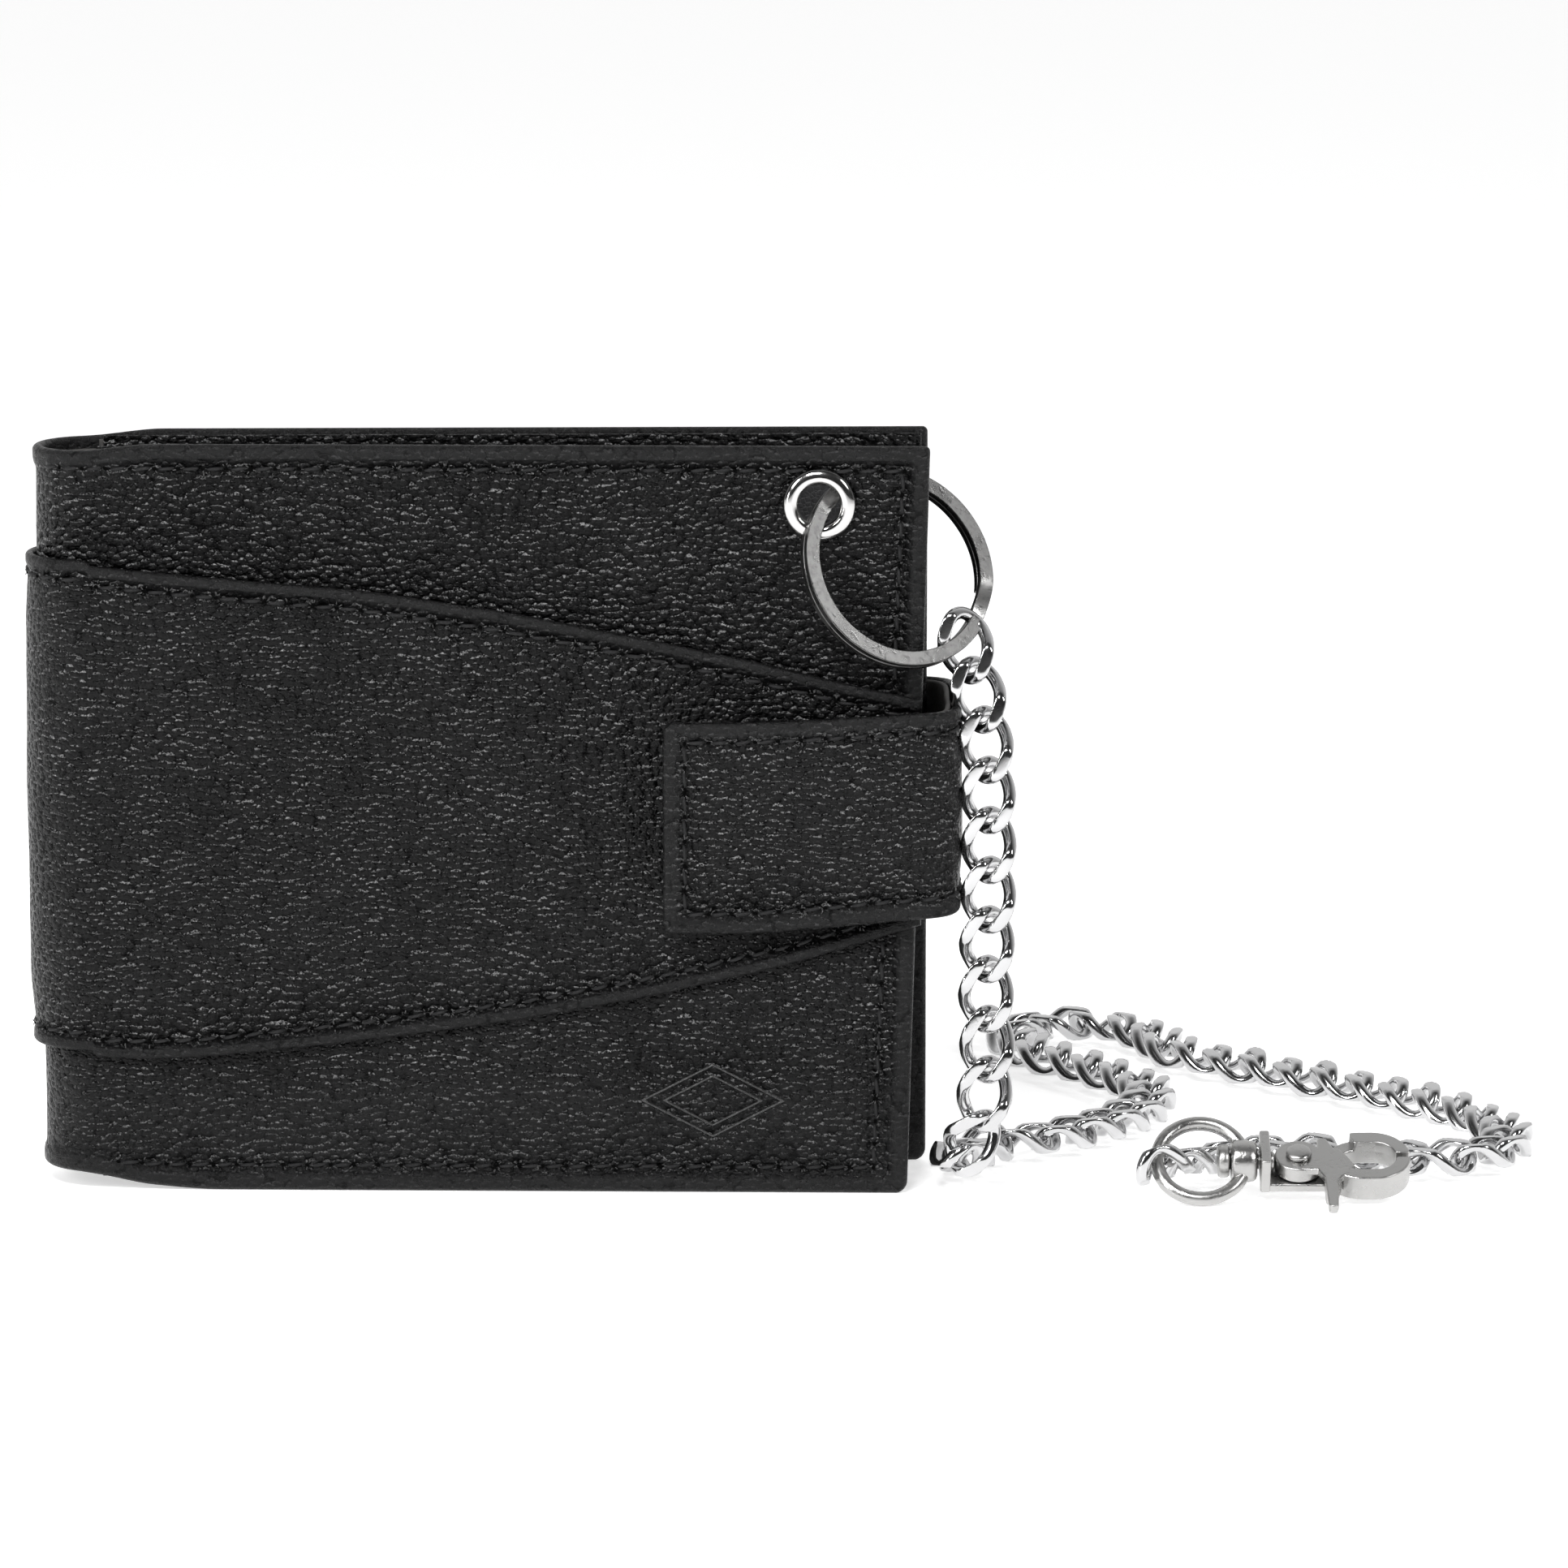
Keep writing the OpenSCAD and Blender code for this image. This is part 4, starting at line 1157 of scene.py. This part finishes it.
# ------------------------------------------------------------------ chain
ROUTE = np.array([
    (61.9, -7.8, 71.5, 0, -1, 0),
    (64.5, -9.4, 60, 0, -1, 0),
    (65, -10, 44, 0, -1, 0),
    (64.8, -10, 28, 0, -1, 0),
    (64.6, -11, 14, 0, -1, 0),
    (62.6, -11, 7, 0, -1, 0),
    (61.1, -8, 4.6, 0, -0.2, -1),
    (62.6, -0.5, 3, 0, 0, -1),
    (66, 6, 3, 0, 0, -1),
    (74, 10, 3, 0, 0, -1),
    (82, 18, 3, 0, 0, -1),
    (87.5, 29, 3, 0, 0, -1),
    (87, 40, 3, 0, 0, -1),
    (80, 52, 3, 0, 0, -1),
    (73, 62, 3, 0, 0, -1),
    (70.5, 72.5, 3, 0, 0, -1),
    (75.5, 79, 3, 0, 0, -1),
    (83.5, 79, 3, 0, 0, -1),
    (89.5, 72, 3, 0, 0, -1),
    (93, 62, 3, 0, 0, -1),
    (102, 53, 3, 0, 0, -1),
    (112, 44, 3, 0, 0, -1),
    (122, 34, 3, 0, 0, -1),
    (130, 23, 3, 0, 0, -1),
    (134, 11, 3, 0, 0, -1),
    (131, 1, 3, 0, 0, -1),
    (121, -2.5, 3, 0, 0, -1),
    (110, 1, 3, 0, 0, -1),
    (100, 0.5, 3, 0, 0, -1),
    (92, -7.5, 3.7, 0, -0.3, -1),
    (87.5, -13, 4.6, 0, -0.7, -0.7)
], float)


def catmull(Pn, n=12):
    Q = np.vstack([2 * Pn[0] - Pn[1], Pn, 2 * Pn[-1] - Pn[-2]])
    out = []
    for i in range(1, len(Q) - 2):
        for k in range(n):
            t = k / n
            a, b, c_, d_ = Q[i - 1], Q[i], Q[i + 1], Q[i + 2]
            out.append(0.5 * (2 * b + (c_ - a) * t + (2 * a - 5 * b + 4 * c_ - d_) * t * t + (3 * b - a - 3 * c_ + d_) * t**3))
    out.append(Q[-2])
    return np.array(out)


LINE = catmull(ROUTE)
RUN = np.concatenate([[0], np.cumsum(np.linalg.norm(np.diff(LINE[:, :3], axis=0), axis=1))])
TOTAL = RUN[-1]


def line_at(s):
    s = min(max(s, 0.0), TOTAL)
    return np.array([np.interp(s, RUN, LINE[:, j]) for j in range(6)])


LINKS = 54
HANG = 10
hang_pitch = 6.5
rest_pitch = (TOTAL - HANG * hang_pitch) / (LINKS - 1 - HANG)
stations = [k * hang_pitch if k <= HANG else HANG * hang_pitch + (k - HANG) * rest_pitch for k in range(LINKS)]


def curb_link(seg=56, sides=14, r=2.8, straight=3.0, wire=0.84, twist=48.0, flat=1.72):
    """One twisted link with its flats filed, long axis X, flat faces at +-Z."""
    half = straight / 2 + r
    per = 2 * straight + 2 * np.pi * r
    out, tang = [], []
    for k in range(seg):
        q = (k / seg) * per
        if q < straight:
            p = (-straight / 2 + q, -r)
        elif q < straight + np.pi * r:
            a = -np.pi / 2 + (q - straight) / r
            p = (straight / 2 + r * np.cos(a), r * np.sin(a))
        elif q < 2 * straight + np.pi * r:
            p = (straight / 2 - (q - straight - np.pi * r), r)
        else:
            a = np.pi / 2 + (q - 2 * straight - np.pi * r) / r
            p = (-straight / 2 + r * np.cos(a), r * np.sin(a))
        th = math.radians(twist) * math.sin(math.pi / 2 * max(-1, min(1, p[0] / (half * 0.95))))
        out.append((p[0], p[1] * math.cos(th), p[1] * math.sin(th)))
    C = np.array(out)
    T = np.roll(C, -1, 0) - np.roll(C, 1, 0)
    T /= np.linalg.norm(T, axis=1)[:, None]
    fr = []
    for k in range(seg):
        ref = np.array([C[k][0] * 0.0 + 0.0, C[k][1], C[k][2]]) + np.array([C[k][0] * 0.6, 0, 0])
        b = ref - T[k] * (ref @ T[k])
        b /= np.linalg.norm(b)
        fr.append((b, np.cross(T[k], b)))
    co, faces = sweep(C, fr, circle_profile(wire, sides), closed=True)
    z = co[:, 2]
    lim = flat
    over = np.abs(z) - lim
    co[:, 2] = np.where(over > 0, np.sign(z) * (lim + over * 0.06), z)
    return co, faces


LINK = curb_link()


def chain_parts(a, b):
    rng = np.random.RandomState(5)
    jitter = rng.uniform(-1, 1, (LINKS, 4))
    parts = []
    for i in range(a, b + 1):
        s = stations[i]
        m = line_at(s)
        t = line_at(s + 3.1)[:3] - line_at(s - 3.1)[:3]
        t /= np.linalg.norm(t)
        n = m[3:] - (m[3:] @ t) * t
        n /= np.linalg.norm(n)
        bb = np.cross(n, t)
        roll = math.radians(jitter[i, 0] * (2.0 if i < 11 else 7.0))
        n2, b2 = n * math.cos(roll) + bb * math.sin(roll), bb * math.cos(roll) - n * math.sin(roll)
        M = np.stack([t, b2, n2], 0)
        co = LINK[0] @ M + m[:3] + 0.12 * jitter[i, 1] * b2
        low = co[:, 2].min()
        if low < 0.02:
            co[:, 2] += 0.02 - low
        parts.append((co, LINK[1]))
    return parts


co, faces = merge(chain_parts(0, LINKS - 1))
chain = new_object("curb_chain", co, faces, CHROME)
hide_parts("chain_hanging", "chain_curl", "chain_floor_left", "chain_floor_far", "chain_floor_back", "chain_floor_right", "chain_end")
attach(chain, "front_half")

# ------------------------------------------------------------------ clasp
SW = np.array([100.0, -13.0, 5.05])


def clasp_frame(roll):
    a = math.radians(roll)
    M = np.array([[1, 0, 0], [0, math.cos(a), math.sin(a)], [0, -math.sin(a), math.cos(a)]])
    return lambda co: np.asarray(co, float) @ M + SW


BODY = clasp_frame(25.0)
EYEF = clasp_frame(45.0)


def extrude(name, outline, w0, w1, frame_fn, mat, bevel=0.25, seg=3, holes=()):
    """A plate of that outline (u, v) from w0 to w1, with round edges."""
    import bmesh

    bm = bmesh.new()
    loops = [outline] + list(holes)
    edges = []
    for lp in loops:
        vs_ = [bm.verts.new((p[0], p[1], w0)) for p in lp]
        for i in range(len(vs_)):
            edges.append(bm.edges.new((vs_[i], vs_[(i + 1) % len(vs_)])))
    bmesh.ops.triangle_fill(bm, use_beauty=True, use_dissolve=False, edges=edges)
    faces_ = list(bm.faces)
    r = bmesh.ops.extrude_face_region(bm, geom=faces_)
    up = [v for v in r["geom"] if isinstance(v, bmesh.types.BMVert)]
    bmesh.ops.translate(bm, verts=up, vec=(0, 0, w1 - w0))
    bmesh.ops.recalc_face_normals(bm, faces=bm.faces)
    bmesh.ops.dissolve_limit(bm, angle_limit=math.radians(1), verts=bm.verts, edges=bm.edges)
    me = bpy.data.meshes.new(name)
    bm.to_mesh(me)
    bm.free()
    co = np.empty(len(me.vertices) * 3)
    me.vertices.foreach_get("co", co)
    co = W(frame_fn(co.reshape(-1, 3)))
    me.vertices.foreach_set("co", co.ravel().astype(np.float32))
    me.update()
    me.materials.append(mat)
    ob = bpy.data.objects.new(name, me)
    bpy.context.scene.collection.objects.link(ob)
    modifier(ob, "BEVEL", "edges", width=bevel * 0.001, segments=seg, limit_method="ANGLE", angle_limit=math.radians(35))
    apply_all(ob)
    for p in ob.data.polygons:
        p.use_smooth = True
    modifier(ob, "WEIGHTED_NORMAL", "normals", keep_sharp=True)
    apply_all(ob)
    return ob


def torus(R, r, n=96, m=20, squash_=1.0):
    a = np.linspace(0, 2 * np.pi, n, endpoint=False)
    C = np.stack([R * np.cos(a), R * np.sin(a), 0 * a], -1)
    fr = [(np.array([math.cos(v), math.sin(v), 0]), np.array([0, 0, 1.0])) for v in a]
    return sweep(C, fr, circle_profile(r, m), closed=True)


# swivel eye: a ring cast onto a barrel
a = np.linspace(0, 2 * np.pi, 120, endpoint=False)
ex = 5.7 * np.cos(a)
ex = np.where(ex < -4.55, -4.55 - (np.abs(ex) - 4.55) * 0.92, ex)
ev = 5.7 * np.sin(a)
C = np.stack([ex - 7.6, ev, 0 * a], -1)
T = np.roll(C, -1, 0) - np.roll(C, 1, 0)
T /= np.linalg.norm(T, axis=1)[:, None]
fr = [(np.cross(T[k], np.array([0, 0, 1.0])), np.array([0, 0, 1.0])) for k in range(len(C))]
co1, f1 = sweep(C, fr, circle_profile(0.92, 20), closed=True)
eye_ring = new_object("clasp_eye_ring", EYEF(co1), f1, CAST)
prof = [(1.12, 0.0), (2.2, 0.0), (2.5, 0.12), (2.68, 0.45), (2.72, 1.0), (2.7, 2.3), (2.6, 2.95), (2.35, 3.28), (2.0, 3.38), (1.12, 3.38), (1.12, 0.0)]
co2, f2 = lathe(prof, 48)
co2 = np.stack([co2[:, 2] - 3.75, co2[:, 0], co2[:, 1]], -1)
barrel = new_object("clasp_eye_barrel", EYEF(co2), f2, CAST)
eye_o = joined("clasp_swivel_eye_cast", [eye_ring, barrel])
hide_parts("clasp_swivel_eye")
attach(eye_o, "front_half")

# swivel pin: its head inside the eye, its neck through the barrel
prof = [(0.0, -5.5), (1.5, -5.5), (1.95, -5.38), (2.12, -5.1), (2.15, -4.6), (2.08, -4.15), (1.85, -3.96), (1.05, -3.9), (1.02, 1.3), (1.25, 1.4), (1.3, 1.7), (1.0, 1.86), (0.0, 1.9)]
co, faces = lathe(prof, 48)
co = np.stack([co[:, 2], co[:, 0], co[:, 1]], -1)
pin = new_object("clasp_swivel_pin_turned", BODY(co), faces, CAST)
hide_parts("clasp_swivel_pin")
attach(pin, "clasp_hook")


def arc_pts(cx_, cy_, r, a0, a1, n):
    a_ = np.radians(np.linspace(a0, a1, n))
    return [(cx_ + r * math.cos(v), cy_ + r * math.sin(v)) for v in a_]


JU = 13.8
yoke = extrude("yoke", [(0, -3.35), (1.3, -3.35), (1.3, 3.35), (0, 3.35)], -2.6, 2.5, BODY, CAST, bevel=0.28)
base_pl = extrude("base_plate", [(0.4, -3.2), (8.6, -3.25), (9.2, -2.6), (9.2, 3.0), (0.4, 3.2)], -2.6, -1.4, BODY, CAST, bevel=0.3)
outer_a = arc_pts(JU + 0.8, 0, 4.8, 8, 90, 18) + arc_pts(JU - 0.8, 0, 4.8, 90, 172, 16)
inner_a = arc_pts(JU - 1.1, 0, 2.7, 167, 90, 14) + arc_pts(JU + 1.1, 0, 2.7, 90, 13, 16)
back_jaw = extrude("back_jaw", outer_a + inner_a, -2.6, -0.38, BODY, CAST, bevel=0.3)
outer_b = arc_pts(JU + 0.8, 0, 4.8, 8, 90, 18) + arc_pts(JU - 0.8, 0, 4.8, 90, 105, 4)
inner_b = arc_pts(JU - 1.1, 0, 2.7, 100, 90, 4) + arc_pts(JU + 1.1, 0, 2.7, 90, 13, 16)
back_jaw_top = extrude("back_jaw_top", outer_b + inner_b, -0.8, 1.0, BODY, CAST, bevel=0.35)
link_pl = extrude("jaw_root", [(8.2, 0.6), (11.0, 0.6), (11.0, 3.4), (8.2, 3.2)], -2.6, -1.4, BODY, CAST, bevel=0.2)
body_o = joined("clasp_body_cast", [yoke, base_pl, back_jaw, back_jaw_top, link_pl])
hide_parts("clasp_body")
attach(body_o, "clasp_hook")

RU = 5.0
hub = extrude("hub", arc_pts(RU, 0, 3.1, 0, 357, 60), -1.2, 1.0, BODY, CAST, bevel=0.3)
cross_arm = extrude(
    "cross_arm",
    [(5.0, -3.0), (7.3, -2.9), (8.1, -4.4), (8.25, -7.0), (8.3, -10.1), (8.6, -10.5), (9.3, -10.5), (9.6, -10.1), (9.75, -7.0), (9.8, -5.2), (10.4, -4.3), (11.6, -3.6), (11.3, -1.8), (10.6, 0.1), (9.6, 1.5), (8.7, 3.5), (7.9, 3.7), (7.5, 3.3), (7.4, 1.6), (5.0, 1.6)],
    -0.1, 1.02, BODY, CAST, bevel=0.32)
fin = extrude("tab_fin", [(8.35, -10.3), (9.5, -10.3), (9.55, -4.6), (8.25, -4.6)], -0.45, 0.6, BODY, CAST, bevel=0.3)
fin2 = extrude("tab_root", [(8.2, -6.9), (9.6, -6.9), (10.4, -4.2), (8.2, -4.2)], -1.8, 0.8, BODY, CAST, bevel=0.3)
outer_c = arc_pts(JU + 0.8, 0, 4.8, -2, -90, 20) + arc_pts(JU - 0.8, 0, 4.8, -90, -150, 14)
inner_c = arc_pts(JU - 1.1, 0, 2.7, -148, -90, 12) + arc_pts(JU + 1.1, 0, 2.7, -90, -4, 16)
front_jaw = extrude("front_jaw", outer_c + inner_c, -2.6, 1.0, BODY, CAST, bevel=0.4)
neck = extrude("jaw_neck", [(8.8, -3.2), (11.4, -3.4), (12.3, -2.2), (11.2, 0.0), (10.2, 1.6), (9.0, 1.2)], -0.6, 1.0, BODY, CAST, bevel=0.3)
lever_o = joined("clasp_lever_cast", [hub, cross_arm, fin, fin2, front_jaw, neck])
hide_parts("clasp_lever")
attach(lever_o, "clasp_lever")

prof = [(0.0, -3.0), (1.2, -3.0), (1.3, -2.85), (1.3, -2.62), (0.8, -2.6), (0.8, 1.05), (1.55, 1.08), (1.66, 1.25), (1.62, 1.55), (1.45, 1.72), (1.1, 1.82), (0.0, 1.86)]
co, faces = lathe(prof, 48)
co[:, 0] += RU
riv = new_object("clasp_rivet_turned", BODY(co), faces, CAST)
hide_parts("clasp_rivet")
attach(riv, "clasp_hook")
# torsion spring, two and a half turns
tt = np.linspace(0, 5 * np.pi, 120)
C = np.stack([RU + 1.5 * np.cos(tt), 1.5 * np.sin(tt), -1.1 + 0.55 * tt / (5 * np.pi)], -1)
fr = [(np.array([math.cos(v), math.sin(v), 0]), np.array([0, 0, 1.0])) for v in tt]
co, faces = sweep(C, fr, circle_profile(0.12, 8))
spr = new_object("clasp_spring_coil", BODY(co), faces, SPRING)
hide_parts("clasp_spring")
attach(spr, "clasp_hook")

# ------------------------------------------------------------------ stage
fm, fnt, fbs = nodes_of("pale_floor")
fbs.inputs["Base Color"].default_value = (0.94, 0.94, 0.94, 1)
fbs.inputs["Roughness"].default_value = 0.5
fbs.inputs["Specular IOR Level"].default_value = 0.25
fbs.inputs["Emission Color"].default_value = (1, 1, 1, 1)
fbs.inputs["Emission Strength"].default_value = 0.55
me = bpy.data.meshes.new("floor")
s = 12.0
me.from_pydata([(-s, -s, 0), (s, -s, 0), (s, s, 0), (-s, s, 0)], [], [(0, 1, 2, 3)])
me.materials.append(fm)
floor = bpy.data.objects.new("floor", me)
bpy.context.scene.collection.objects.link(floor)


def area(name, loc, aim, size, power, size_y=None):
    ld = bpy.data.lights.new(name, "AREA")
    ld.energy = power
    ld.size = size
    if size_y:
        ld.shape = "RECTANGLE"
        ld.size_y = size_y
    ob = bpy.data.objects.new(name, ld)
    ob.location = loc
    ob.rotation_euler = (Vector(aim) - Vector(loc)).to_track_quat("-Z", "Y").to_euler()
    bpy.context.scene.collection.objects.link(ob)
    return ob


lights = [
    area("soft_top", (-0.12, -0.58, 0.70), (0.03, 0.0, 0.03), 0.26, 5.2, 0.12),
    area("strip_left", (-0.62, -0.62, 0.52), (0.0, 0.0, 0.05), 0.12, 3.4, 0.30),
    area("strip_right", (0.72, -0.50, 0.56), (0.05, 0.0, 0.04), 0.10, 2.6, 0.28),
    area("low_left", (-0.75, -0.55, 0.16), (0.0, 0.0, 0.05), 0.08, 0.9, 0.20),
]
# a studio: white sweep behind, a darker room in front
world = bpy.data.worlds.new("studio")
world.use_nodes = True
wt = world.node_tree
bg = wt.nodes["Background"]
wtc = wt.nodes.new("ShaderNodeTexCoord")
sep = wt.nodes.new("ShaderNodeSeparateXYZ")
wt.links.new(wtc.outputs["Generated"], sep.inputs[0])
fac = wt.nodes.new("ShaderNodeMapRange")
fac.inputs["From Min"].default_value = -0.25
fac.inputs["From Max"].default_value = 0.55
fac.inputs["To Min"].default_value = 0.03
fac.inputs["To Max"].default_value = 0.8
wt.links.new(sep.outputs["Y"], fac.inputs["Value"])
wt.links.new(fac.outputs[0], bg.inputs[0])
bg.inputs[1].default_value = 1.0
bpy.context.scene.world = world
bpy.context.scene.view_settings.view_transform = "Standard"
